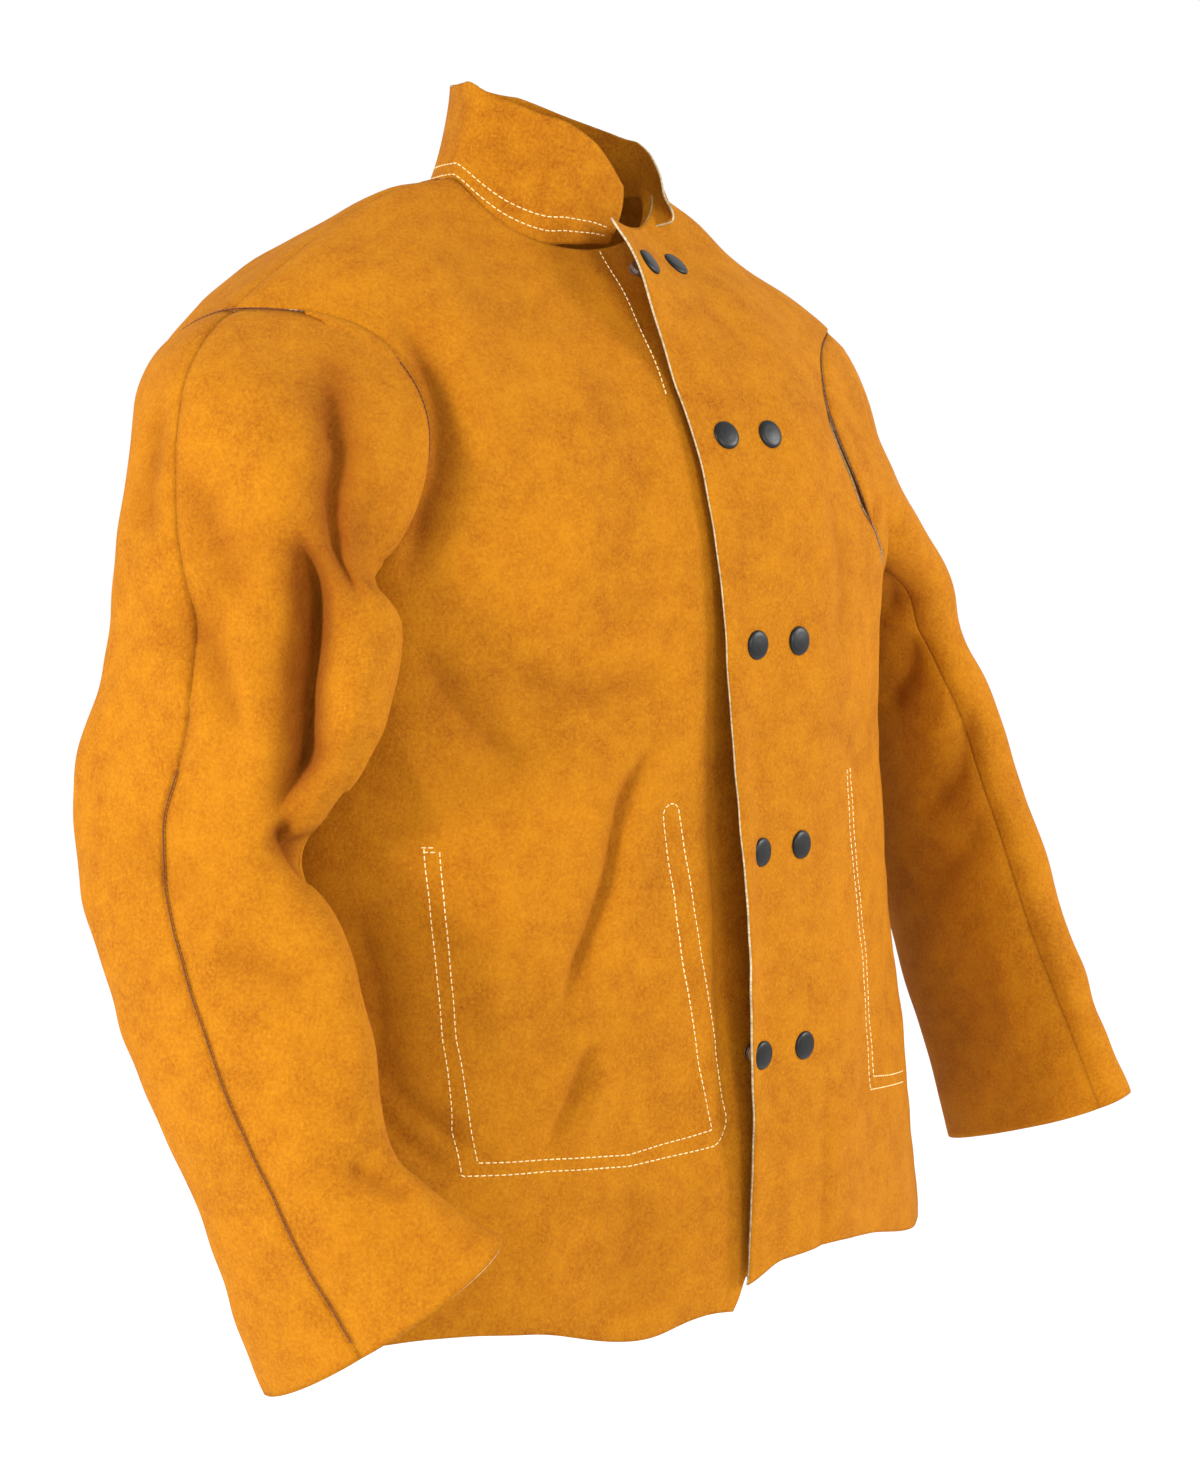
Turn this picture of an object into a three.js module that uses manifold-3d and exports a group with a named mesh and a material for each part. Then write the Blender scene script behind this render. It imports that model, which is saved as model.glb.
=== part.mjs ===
// Leather welding jacket: cape-leather body in four panels, two set-in sleeves, a stand-up
// collar, two inside pocket bags and ten press snaps in two columns.
// Millimetres. The front faces -Y, the wearer's left is +X. Heights are measured from the hem,
// and the finished jacket is then lowered so that the origin is the middle of the neck hole.
import * as THREE from 'three';
import { mergeVertices } from 'three/addons/utils/BufferGeometryUtils.js';
import Module from 'manifold-3d';

const wasm = await Module();
wasm.setup();

// ---------------------------------------------------------------- driving sizes
const leather = 1.6; // thickness of every leather panel
const seamGap = 0.5; // space left between two panels that are sewn together

const bodyLength = 766; // hem to the side of the neck
const shoulderDrop = 86; // side of the neck down to the shoulder point
const armholeDrop = 210; // shoulder point down to the underarm
const hemHalfWidth = 312;
const waistHalfWidth = 268;
const chestHalfWidth = 306; // fullest half width, level with the middle of the armhole
const shoulderHalfWidth = 262; // half width of the body at the height of the shoulder point
const frontDepth = 170; // centre line of the body out to the belly
const backDepth = 154; // centre line of the body out to the shoulder blades
const sectionPower = 2.35; // exponent of the rounded horizontal sections, 2 is an ellipse

const neckHalfWidth = 85;
const neckFrontReach = 46; // neck centre forward to the front of the neck hole
const neckBackReach = 80;
const collarHeight = 76; // at the middle of the back
const collarFrontHeight = 52; // where the front corners begin to round down
const collarTuck = 5; // the collar starts this far below the neck edge, just inside the body
const collarLean = 10; // how far the top of the collar stands in from its base
const collarCorner = 45; // length over which each front end of the collar rounds down

const armholeInset = 59; // fullest half width in to the armhole plane, at y = 0
const armholePlane = chestHalfWidth - armholeInset; // half distance between the two planes
const armholeYaw = 20; // degrees that each armhole plane faces forward
const armholeRadius = 100; // radius of the sleeve head where it meets the armhole
const armholeCentreY = -14;
const armholeClearance = 6; // space round the sleeve head where the body wraps it
const headLength = 39; // straight part of the sleeve head, past the side of the body

const flapEdge = 25; // x of the free edge of the left front, on top
const flapWidth = 90; // free edge to the fold line of the left front
const flapTopWidth = 34; // free edge to the fold line where the strip meets the collar
const flapSlant = 110; // height over which the strip narrows to that, below the neck
const overlapRise = 7; // how far the left front stands off the body surface
const overlapTaper = 90; // arc over which that rise dies out past the fold line
const foldGap = 11; // slot along the fold line, so that the flap can turn
const underlapReach = 10; // how far the right front runs on underneath, past that slot

const snapRows = 5;
const snapPitch = 141; // row to row, along the leather
const snapTopDrop = 24; // neckline down to the first row, along the leather
const snapInset = 24; // free edge of the flap to the first column
const snapSpread = 41; // first column to second column
const snapLean = 14; // how far the first row stands nearer the centre than the lower rows
const capRadius = 10;
const capHeight = 3.4;
const shankRadius = 2.0;
const socketRadius = 6.5;
const socketHeight = 3.0;
const recessRadius = 4.4;
const studFlangeRadius = 6.0;
const studHeadRadius = 2.6;
const studFlangeThickness = 0.9;
const studHeight = 3.0; // underlap up to the top of the stud
const postFlangeRadius = 5.5;
const postFlangeThickness = 0.8;
const postShankRadius = 1.1;
const snapFit = 0.4; // clearance between any two snap pieces, and to the leather

const pocketWidth = 205; // along the leather
const pocketHeight = 225;
const pocketBottom = 118; // height of the pocket's lower edge above the hem
const pocketSetback = 14; // pocket bag behind the inside face of the front
const rightPocketStart = -28; // x of the right pocket's front edge
const leftPocketStart = 150;

// ---------------------------------------------------------------- derived heights
const shoulderZ = bodyLength - shoulderDrop;
const armpitZ = shoulderZ - armholeDrop;
const armholeZ = armpitZ + armholeDrop / 2;

// ---------------------------------------------------------------- small tools
const clamp01 = (t) => Math.min(1, Math.max(0, t));
const smooth = (t) => clamp01(t) ** 2 * (3 - 2 * clamp01(t));
const mix = (a, b, t) => a + (b - a) * t;
const radians = THREE.MathUtils.degToRad;
const vec = (x, y, z) => new THREE.Vector3(x, y, z);

// A curve through (station, value) pairs that never overshoots between two stations.
function profile(pairs) {
  const xs = pairs.map((p) => p[0]);
  const ys = pairs.map((p) => p[1]);
  const last = xs.length - 1;
  const h = xs.slice(1).map((x, i) => x - xs[i]);
  const d = h.map((step, i) => (ys[i + 1] - ys[i]) / step);
  const m = ys.map((_, i) => {
    if (i === 0) return d[0];
    if (i === last) return d[last - 1];
    if (d[i - 1] * d[i] <= 0) return 0;
    const wa = 2 * h[i] + h[i - 1];
    const wb = h[i] + 2 * h[i - 1];
    return (wa + wb) / (wa / d[i - 1] + wb / d[i]);
  });
  return (x) => {
    let i = 0;
    while (i < last - 1 && x > xs[i + 1]) i += 1;
    const t = clamp01((x - xs[i]) / h[i]);
    const rise = t * t * (3 - 2 * t);
    const slopes = t * (1 - t) ** 2 * m[i] + t * t * (t - 1) * m[i + 1];
    return ys[i] * (1 - rise) + ys[i + 1] * rise + slopes * h[i];
  };
}

// ---------------------------------------------------------------- body surface
const upper = (share) => mix(armpitZ, shoulderZ, share);
const yoke = (share) => mix(shoulderZ, bodyLength, share);
const halfWidth = profile([
  [0, hemHalfWidth],
  [armpitZ * 0.26, mix(waistHalfWidth, hemHalfWidth, 0.62)],
  [armpitZ * 0.59, mix(waistHalfWidth, hemHalfWidth, 0.22)],
  [armpitZ * 0.85, waistHalfWidth],
  [armpitZ, waistHalfWidth + 4],
  [upper(0.29), chestHalfWidth - 16],
  [upper(0.52), chestHalfWidth],
  [upper(0.76), chestHalfWidth - 6],
  [shoulderZ, shoulderHalfWidth],
  [yoke(0.51), mix(shoulderHalfWidth, neckHalfWidth, 0.51)],
  [bodyLength, neckHalfWidth + 1],
]);
const frontReach = profile([
  [0, frontDepth],
  [armpitZ * 0.26, frontDepth + 2],
  [armpitZ, frontDepth - 3],
  [upper(0.29), frontDepth - 10],
  [upper(0.52), frontDepth - 23],
  [upper(0.76), frontDepth - 48],
  [shoulderZ, frontDepth - 86],
  [yoke(0.51), neckFrontReach - 2],
  [bodyLength, neckFrontReach * 0.4],
]);
const backReach = profile([
  [0, backDepth + 8],
  [armpitZ * 0.26, backDepth + 2],
  [armpitZ * 0.85, backDepth - 8],
  [armpitZ, backDepth - 4],
  [upper(0.29), backDepth - 1],
  [upper(0.76), backDepth - 8],
  [shoulderZ, backDepth - 22],
  [yoke(0.51), mix(backDepth - 22, neckBackReach, 0.5)],
  [bodyLength, neckBackReach - 2],
]);

// Outward unit normal of the body surface, from the gradient of |x/A|^n + |y/D|^n.
function bodyNormal(x, y, z) {
  const n = sectionPower;
  const step = 1;
  const reach = y < 0 ? frontReach : backReach;
  const level = (zz) => (Math.abs(x) / halfWidth(zz)) ** n + (Math.abs(y) / reach(zz)) ** n;
  const gx = (n * Math.sign(x) * Math.abs(x) ** (n - 1)) / halfWidth(z) ** n;
  const gy = (n * Math.sign(y) * Math.abs(y) ** (n - 1)) / reach(z) ** n;
  const gz = (level(Math.min(bodyLength, z + step)) - level(Math.max(0, z - step))) / (2 * step);
  return vec(gx, gy, gz).normalize();
}

// A point of the body surface at turn u (0 the wearer's left, 90 degrees the front), moved out.
function bodyPoint(u, z, out = 0) {
  const bend = 2 / sectionPower;
  const c = Math.cos(u);
  const s = Math.sin(u);
  const x = halfWidth(z) * Math.sign(c) * Math.abs(c) ** bend;
  const y = (s > 0 ? -frontReach(z) : backReach(z)) * Math.abs(s) ** bend;
  const normal = bodyNormal(x, y, z);
  if (z <= 0) normal.setZ(0).normalize();
  return vec(x, y, z).addScaledVector(normal, out);
}

// The front surface by x and height: its y, and the turn u that reaches it.
const frontY = (x, z) =>
  -frontReach(z) * (1 - (Math.abs(x) / halfWidth(z)) ** sectionPower) ** (1 / sectionPower);
function frontTurn(x, z) {
  const c = (Math.abs(x) / halfWidth(z)) ** (sectionPower / 2);
  return Math.acos(Math.sign(x) * Math.min(1, c));
}

// ---------------------------------------------------------------- solids
// A closed shell between two grids of points, rows by columns. wrap joins last column to first.
function shellGeometry(outer, inner, wrap = false) {
  const rows = outer.length;
  const cols = outer[0].length;
  const flat = [...outer.flat(), ...inner.flat()];
  const at = (layer, i, j) => layer * rows * cols + i * cols + (wrap ? j % cols : j);
  const index = [];
  const quad = (a, b, c, d) => index.push(a, b, c, a, c, d);
  const spans = wrap ? cols : cols - 1;
  for (let i = 0; i < rows - 1; i += 1) {
    for (let j = 0; j < spans; j += 1) {
      quad(at(0, i, j), at(0, i, j + 1), at(0, i + 1, j + 1), at(0, i + 1, j));
      quad(at(1, i, j), at(1, i + 1, j), at(1, i + 1, j + 1), at(1, i, j + 1));
    }
  }
  for (let j = 0; j < spans; j += 1) {
    quad(at(0, 0, j), at(1, 0, j), at(1, 0, j + 1), at(0, 0, j + 1));
    quad(at(0, rows - 1, j), at(0, rows - 1, j + 1), at(1, rows - 1, j + 1), at(1, rows - 1, j));
  }
  if (!wrap) {
    for (let i = 0; i < rows - 1; i += 1) {
      quad(at(0, i, 0), at(0, i + 1, 0), at(1, i + 1, 0), at(1, i, 0));
      quad(at(0, i, cols - 1), at(1, i, cols - 1), at(1, i + 1, cols - 1), at(0, i + 1, cols - 1));
    }
  }
  const geometry = new THREE.BufferGeometry();
  const numbers = flat.flatMap((p) => [p.x, p.y, p.z]);
  geometry.setAttribute('position', new THREE.Float32BufferAttribute(numbers, 3));
  geometry.setIndex(index);
  return geometry;
}

function toSolid(geometry) {
  const plain = geometry.clone();
  plain.deleteAttribute('normal');
  plain.deleteAttribute('uv');
  const merged = mergeVertices(plain, 1e-4);
  const solid = new wasm.Manifold(
    new wasm.Mesh({
      numProp: 3,
      vertProperties: new Float32Array(merged.attributes.position.array),
      triVerts: new Uint32Array(merged.index.array),
    }),
  );
  if (solid.volume() >= 0) return solid;
  const turned = merged.index.array.slice();
  for (let i = 0; i < turned.length; i += 3) [turned[i], turned[i + 1]] = [turned[i + 1], turned[i]];
  merged.setIndex(new THREE.BufferAttribute(turned, 1));
  return toSolid(merged);
}

function toGeometry(solid) {
  const mesh = solid.getMesh();
  const geometry = new THREE.BufferGeometry();
  geometry.setAttribute('position', new THREE.Float32BufferAttribute(mesh.vertProperties, 3));
  geometry.setIndex(new THREE.BufferAttribute(new Uint32Array(mesh.triVerts), 1));
  geometry.computeVertexNormals();
  return geometry;
}

// A box solid between two corners, turned about the vertical through a point.
function boxSolid(low, high, pivot = vec(0, 0, 0), yaw = 0) {
  const size = vec().subVectors(high, low);
  const box = new THREE.BoxGeometry(size.x, size.y, size.z);
  box.translate((low.x + high.x) / 2, (low.y + high.y) / 2, (low.z + high.z) / 2);
  box.rotateZ(yaw);
  box.translate(pivot.x, pivot.y, pivot.z);
  return toSolid(box);
}

// A round bar with its axis from a point along a direction.
function barSolid(radius, from, along, length, segments) {
  const bar = new THREE.CylinderGeometry(radius, radius, length, segments);
  bar.translate(0, length / 2, 0);
  bar.applyQuaternion(new THREE.Quaternion().setFromUnitVectors(vec(0, 1, 0), along));
  bar.translate(from.x, from.y, from.z);
  return toSolid(bar);
}

// ---------------------------------------------------------------- body panels
const bodyColumns = 48;
const bodyLevels = [0, 0.2, 0.42, 0.64, 0.84, 1].map((t) => armpitZ * t);
bodyLevels.push(...[0.18, 0.36, 0.54, 0.7, 0.86, 1].map(upper));
bodyLevels.push(...[0.3, 0.62, 1].map(yoke));

const armholeSegments = 40;
const wideMargin = 60; // how far cutting blocks reach past the jacket
const far = hemHalfWidth + frontDepth + bodyLength;

// Outward normal and forward direction of an armhole plane. side is +1 left, -1 right.
function armholeFrame(side) {
  const yaw = radians(armholeYaw);
  const normal = vec(side * Math.cos(yaw), -Math.sin(yaw), 0);
  const forward = vec(-side * Math.sin(yaw), -Math.cos(yaw), 0);
  const centre = vec(side * (armholePlane + armholeCentreY * Math.tan(yaw)), armholeCentreY, armholeZ);
  return { normal, forward, centre };
}

// What the armholes and the neck take out of the body: the space past each armhole plane above
// the sleeve's axis, the room round each sleeve head, and the oval of the neck.
function openingsCutter() {
  const cuts = [-1, 1].map((side) => {
    const { normal, centre } = armholeFrame(side);
    const turn = Math.atan2(normal.y, normal.x);
    const pastPlane = boxSolid(vec(0, -far, 0), vec(far, far, far), centre, turn);
    return pastPlane.add(barSolid(armholeRadius + armholeClearance, centre, normal, far, armholeSegments));
  });
  const turns = 48;
  const neck = new THREE.Shape(
    Array.from({ length: turns }, (_, i) => {
      const a = (i / turns) * 2 * Math.PI;
      const reach = Math.sin(a) < 0 ? neckFrontReach : neckBackReach;
      return new THREE.Vector2(neckHalfWidth * Math.cos(a), reach * Math.sin(a));
    }),
  );
  const neckTool = new THREE.ExtrudeGeometry(neck, { depth: far, bevelEnabled: false, curveSegments: 1 });
  neckTool.translate(0, 0, armholeZ);
  cuts.push(toSolid(neckTool));
  return cuts.reduce((all, cut) => all.add(cut));
}
const openings = openingsCutter();

// How far the left front stands off the body surface at turn u.
function leftRise(u, z) {
  const fold = frontTurn(flapEdge + flapWidth, z);
  const arc = ((fold - u) / (Math.PI / 2)) * (halfWidth(z) + frontReach(z)) * 0.75;
  return overlapRise * (1 - smooth(arc / overlapTaper));
}

function panelShell(fromTurn, toTurn, rise) {
  const columns = Math.max(6, Math.round(bodyColumns * ((toTurn - fromTurn) / (2 * Math.PI))));
  const surface = (out) =>
    bodyLevels.map((z) =>
      Array.from({ length: columns + 1 }, (_, j) => {
        const u = mix(fromTurn, toTurn, j / columns);
        return bodyPoint(u, z, rise(u, z) - out);
      }),
    );
  return toSolid(shellGeometry(surface(0), surface(leather))).subtract(openings);
}

const quarter = Math.PI / 2;
const foldX = flapEdge + flapWidth;
const underlapEdge = foldX + foldGap + underlapReach;
// A block over the snap strip of the left front: straight, then narrowing to the neck on a slant.
function stripBlock(edge, margin) {
  const narrow = flapEdge + flapTopWidth + margin;
  const outline = new THREE.Shape([
    new THREE.Vector2(edge, -wideMargin),
    new THREE.Vector2(foldX + margin, -wideMargin),
    new THREE.Vector2(foldX + margin, bodyLength - flapSlant),
    new THREE.Vector2(narrow, bodyLength - collarTuck),
    new THREE.Vector2(narrow, bodyLength + wideMargin),
    new THREE.Vector2(edge, bodyLength + wideMargin),
  ]);
  const block = new THREE.ExtrudeGeometry(outline, { depth: far, bevelEnabled: false });
  block.rotateX(quarter);
  return toSolid(block);
}

const noRise = () => 0;
const frontSeamY = -seamGap / 2;
const front = boxSolid(vec(-far, -far, -wideMargin), vec(far, frontSeamY, far));
const back = boxSolid(vec(-far, -frontSeamY, -wideMargin), vec(far, far, far));
const slice = (low, high) => boxSolid(vec(low, -far, -wideMargin), vec(high, far, far));
const seamOverrun = 0.08; // the shells run this turn past the side seams before they are trimmed

const backPanel = panelShell(-2 * quarter - seamOverrun, seamOverrun, noRise).intersect(back);
const rightShell = panelShell(frontTurn(underlapEdge + wideMargin, 0), 2 * quarter + seamOverrun, noRise);
const leftShell = panelShell(-seamOverrun, frontTurn(flapEdge - wideMargin, 0), leftRise).intersect(front);
let rightFront = rightShell.intersect(front).intersect(slice(-far, underlapEdge));
let flap = leftShell.intersect(stripBlock(flapEdge, 0));
const leftFront = leftShell.subtract(stripBlock(flapEdge - 2 * wideMargin, foldGap));

// ---------------------------------------------------------------- collar
// The neck edge of the body at turn a (0 the wearer's left, 90 degrees the front).
function neckEdge(a) {
  const x = neckHalfWidth * Math.cos(a);
  const y = -(Math.sin(a) > 0 ? neckFrontReach : neckBackReach) * Math.sin(a);
  const reach = y < 0 ? frontReach : backReach;
  const inside = (z) =>
    (Math.abs(x) / halfWidth(z)) ** sectionPower + (Math.abs(y) / reach(z)) ** sectionPower < 1;
  let low = armholeZ;
  let high = bodyLength;
  for (let i = 0; i < 40; i += 1) {
    const middle = (low + high) / 2;
    if (inside(middle)) low = middle;
    else high = middle;
  }
  return vec(x, y, low);
}

function collarGeometry() {
  const columns = 34;
  const rows = 4;
  const inset = 2 * seamGap; // how far inside the neck edge the collar stands
  const start = frontTurn(flapEdge + 6, yoke(0.6));
  const from = start + 0.08 - 2 * Math.PI;
  const to = start - 0.08;
  const surface = (out) =>
    Array.from({ length: rows + 1 }, (_, i) =>
      Array.from({ length: columns + 1 }, (_, j) => {
        const a = mix(from, to, j / columns);
        const foot = neckEdge(a);
        const end = Math.min(a - from, to - a) * (neckHalfWidth + neckFrontReach) * 0.5;
        const round = Math.sqrt(1 - (1 - clamp01(end / collarCorner)) ** 2);
        const frontness = Math.abs(mix(-1, 1, j / columns));
        const height = mix(collarHeight, collarFrontHeight, smooth(frontness)) * mix(0.4, 1, round);
        const t = i / rows;
        const inward = vec(-foot.x, -foot.y, 0).normalize();
        const shift = inset + collarLean * Math.sin((t * Math.PI) / 2) + out;
        return foot.clone().addScaledVector(inward, shift).add(vec(0, 0, mix(-collarTuck, height, t)));
      }),
    );
  return shellGeometry(surface(0), surface(leather));
}

// ---------------------------------------------------------------- sleeves
// Each arm: where the elbow and the cuff are, which way the tube runs there, and its half widths.
const arms = {
  right: {
    side: -1,
    elbow: vec(-armholePlane - 83, -74, armholeZ - 225),
    elbowRun: vec(0.06, -0.3, -1),
    cuff: vec(-armholePlane - 37, -206, armholeZ - 510),
    cuffRun: vec(0.2, -0.46, -1),
    sectionRun: vec(0.4, -1, 0),
    swing: -34,
  },
  left: {
    side: 1,
    elbow: vec(armholePlane + 111, -30, armholeZ - 240),
    elbowRun: vec(0.16, -0.22, -1),
    cuff: vec(armholePlane + 161, -116, armholeZ - 520),
    cuffRun: vec(0.14, -0.36, -1),
    sectionRun: vec(-0.2, -1, 0),
    swing: -4,
  },
};
const upperArm = { fore: 100, across: 38 }; // half widths of the flattened sleeve tube
const elbowArm = { fore: 88, across: 44 };
const cuffArm = { fore: 92, across: 30 };
const sleevePower = 2.15; // exponent of the sleeve's rounded sections
const turnDown = 82; // degrees that the sleeve turns from the armhole to hanging
const sleeveColumns = 20;
const fanSteps = 5;
const lengthSteps = 4;

// Point and direction of a smooth curve between two places with given end directions.
function hermite(p0, m0, p1, m1, t) {
  const point = vec()
    .addScaledVector(p0, 2 * t ** 3 - 3 * t ** 2 + 1)
    .addScaledVector(m0, t ** 3 - 2 * t ** 2 + t)
    .addScaledVector(p1, -2 * t ** 3 + 3 * t ** 2)
    .addScaledVector(m1, t ** 3 - t ** 2);
  const run = vec()
    .addScaledVector(p0, 6 * t ** 2 - 6 * t)
    .addScaledVector(m0, 3 * t ** 2 - 4 * t + 1)
    .addScaledVector(p1, -6 * t ** 2 + 6 * t)
    .addScaledVector(m1, 3 * t ** 2 - 2 * t);
  return { point, run: run.normalize() };
}

// The sleeve as a row of sections: centre, fore direction, outer direction and two half widths.
function sleeveSections(arm) {
  const { normal, forward, centre } = armholeFrame(arm.side);
  const up = vec(0, 0, 1);
  const sections = [];
  const head = (distance) => ({
    centre: centre.clone().addScaledVector(normal, distance),
    fore: forward,
    outer: up,
    a: armholeRadius,
    b: armholeRadius,
  });
  sections.push(head(seamGap), head(headLength * 0.5));
  const pit = centre.clone().addScaledVector(normal, headLength).addScaledVector(up, -armholeRadius);
  const hang = arm.sectionRun.clone().normalize();
  let run = normal;
  for (let i = 0; i <= fanSteps; i += 1) {
    const t = i / fanSteps;
    const turn = radians(turnDown) * t;
    const fore = forward.clone().lerp(hang, t).normalize();
    const across = vec(-fore.y * -arm.side, fore.x * -arm.side, 0);
    if (across.dot(normal) < 0) across.negate();
    const outer = up.clone().multiplyScalar(Math.cos(turn)).addScaledVector(across, Math.sin(turn));
    run = across.clone().multiplyScalar(Math.cos(turn)).addScaledVector(up, -Math.sin(turn));
    const a = mix(armholeRadius, upperArm.fore, t);
    const b = mix(armholeRadius, upperArm.across, 1 - (1 - t) ** 1.6);
    const place = pit.clone().addScaledVector(outer, b).add(vec(0, arm.swing * t * t, 0));
    sections.push({ centre: place, fore, outer, a, b });
  }
  const ends = [
    { to: arm.elbow, run: arm.elbowRun.clone().normalize(), size: elbowArm },
    { to: arm.cuff, run: arm.cuffRun.clone().normalize(), size: cuffArm },
  ];
  let from = sections[sections.length - 1];
  let size = upperArm;
  for (const end of ends) {
    const reach = from.centre.distanceTo(end.to);
    const m0 = run.clone().multiplyScalar(reach);
    const m1 = end.run.clone().multiplyScalar(reach);
    const begin = from.centre;
    for (let i = 1; i <= lengthSteps; i += 1) {
      const t = i / lengthSteps;
      const { point, run: along } = hermite(begin, m0, end.to, m1, t);
      const fore = from.fore.clone().addScaledVector(along, -from.fore.dot(along)).normalize();
      const outer = vec().crossVectors(fore, along).normalize();
      if (outer.dot(from.outer) < 0) outer.negate();
      const a = mix(size.fore, end.size.fore, smooth(t));
      const b = mix(size.across, end.size.across, smooth(t));
      from = { centre: point, fore, outer, a, b };
      sections.push(from);
    }
    run = end.run;
    size = end.size;
  }
  return sections;
}

// One of a sleeve's two panels: the turns of each section between two seams.
function sleevePanel(arm, fromTurn, toTurn) {
  const bend = 2 / sleevePower;
  const columns = Math.round((sleeveColumns * (toTurn - fromTurn)) / (2 * Math.PI));
  const sections = sleeveSections(arm);
  const surface = (out) =>
    sections.map((s) =>
      Array.from({ length: columns + 1 }, (_, j) => {
        const v = mix(fromTurn, toTurn, j / columns);
        const c = Math.cos(v);
        const w = Math.sin(v);
        return s.centre
          .clone()
          .addScaledVector(s.fore, (s.a - out) * Math.sign(c) * Math.abs(c) ** bend)
          .addScaledVector(s.outer, (s.b - out) * Math.sign(w) * Math.abs(w) ** bend);
      }),
    );
  return toSolid(shellGeometry(surface(0), surface(leather)));
}
const frontSleeveSeam = radians(-28); // turns of the two sleeve seams: inside the fore edge, outside the rear edge
const backSleeveSeam = radians(148);
const sleeveSeamTurn = 0.012; // turn left open between the two sleeve panels

// ---------------------------------------------------------------- pocket bags
function pocketBag(startX, side) {
  const columns = 10;
  const rows = 4;
  const middle = pocketBottom + pocketHeight / 2;
  const girth = (halfWidth(middle) + frontReach(middle)) * 0.78;
  const begin = frontTurn(startX, middle);
  const end = begin + (side * -1 * pocketWidth * quarter) / girth;
  const surface = (out) =>
    Array.from({ length: rows + 1 }, (_, i) =>
      Array.from({ length: columns + 1 }, (_, j) => {
        const z = pocketBottom + (pocketHeight * i) / rows;
        return bodyPoint(mix(begin, end, j / columns), z, -leather - pocketSetback - out);
      }),
    );
  return toSolid(shellGeometry(surface(0), surface(leather * 0.75)));
}

// ---------------------------------------------------------------- press snaps
// Heights of the snap rows: equal steps along the leather, down from the neckline.
function snapHeights() {
  const x = flapEdge + snapInset + snapSpread / 2 - snapLean;
  const heights = [];
  let z = neckEdge(frontTurn(x, yoke(0.6))).z;
  let walked = 0;
  let next = snapTopDrop;
  const step = 0.5;
  while (heights.length < snapRows && z > step) {
    const rise = frontY(x, z) - frontY(x, z - step);
    walked += Math.hypot(step, rise);
    z -= step;
    if (walked >= next) {
      heights.push(z);
      next += snapPitch;
    }
  }
  return heights;
}

const capFace = new THREE.MeshStandardMaterial({ color: '#26262a', roughness: 0.35, metalness: 0.7 });
const socketMetal = new THREE.MeshStandardMaterial({ color: '#8a8d90', roughness: 0.4, metalness: 0.9 });

const lathe = (points, segments) =>
  new THREE.LatheGeometry(points.map(([r, y]) => new THREE.Vector2(r, y)), segments);
const roundSegments = 10;
const capSegments = 12;
const seatSegments = 12;
const holeSegments = 8;

// All four pieces are turned about +Y with y = 0 in the outer face of the leather they sit on.
const seat = 0.2; // the leather is pressed down this far under a snap
const leatherLeft = leather - 2 * seat;
function capGeometry() {
  const y = snapFit - seat;
  const tail = -(leatherLeft + seat + snapFit + socketHeight * 0.35);
  return lathe(
    [[0, tail], [shankRadius, tail], [shankRadius, y], [capRadius, y], [capRadius, y + capHeight * 0.35],
      [capRadius * 0.7, y + capHeight * 0.9], [0, y + capHeight]],
    capSegments,
  );
}
function socketGeometry() {
  const top = -(leatherLeft + seat + snapFit);
  const roof = top - socketHeight * 0.35;
  const bottom = top - socketHeight;
  const bore = shankRadius + snapFit;
  return lathe(
    [[bore, top], [bore, roof], [recessRadius, roof], [recessRadius, bottom], [socketRadius, bottom],
      [socketRadius, top], [bore, top]],
    roundSegments,
  );
}
function studGeometry() {
  const bottom = snapFit - seat;
  const rim = bottom + studFlangeThickness;
  const bore = postShankRadius + snapFit;
  return lathe(
    [[bore, bottom], [studFlangeRadius, bottom], [studFlangeRadius, rim], [studHeadRadius, rim],
      [studHeadRadius, studHeight], [bore, studHeight], [bore, bottom]],
    roundSegments,
  );
}
function postGeometry() {
  const top = studHeight - snapFit;
  const flange = -(leatherLeft + seat + snapFit);
  return lathe(
    [[0, flange - 1.5 * postFlangeThickness], [postFlangeRadius, flange - postFlangeThickness],
      [postFlangeRadius, flange], [postShankRadius, flange], [postShankRadius, top], [0, top]],
    roundSegments,
  );
}

// ---------------------------------------------------------------- assembly
const jacket = new THREE.Group();
const suede = () => new THREE.MeshStandardMaterial({ color: '#d4862a', roughness: 0.92, metalness: 0 });
const collarSuede = () => new THREE.MeshStandardMaterial({ color: '#c9832f', roughness: 0.92, metalness: 0 });

function addMesh(name, geometry, material) {
  const mesh = new THREE.Mesh(geometry, material);
  mesh.name = name;
  jacket.add(mesh);
  return mesh;
}

// Places a turned piece on the leather: position on the surface, +Y along its normal.
function placeOnLeather(mesh, foot, normal) {
  mesh.position.copy(foot);
  mesh.quaternion.setFromUnitVectors(vec(0, 1, 0), normal);
}

// Presses flat seats and a hole into a leather panel for one snap.
function pressSeat(panel, foot, normal, holeRadius, outerRadius, innerRadius) {
  const reach = 12; // deep enough to pass the leather, short of any other piece
  const outerSeat = foot.clone().addScaledVector(normal, -seat);
  const innerSeat = foot.clone().addScaledVector(normal, seat - leather);
  const holeStart = foot.clone().addScaledVector(normal, -reach / 2);
  return panel
    .subtract(barSolid(outerRadius, outerSeat, normal, reach, seatSegments))
    .subtract(barSolid(innerRadius, innerSeat, normal.clone().negate(), reach, seatSegments))
    .subtract(barSolid(holeRadius, holeStart, normal, reach, holeSegments));
}

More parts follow.
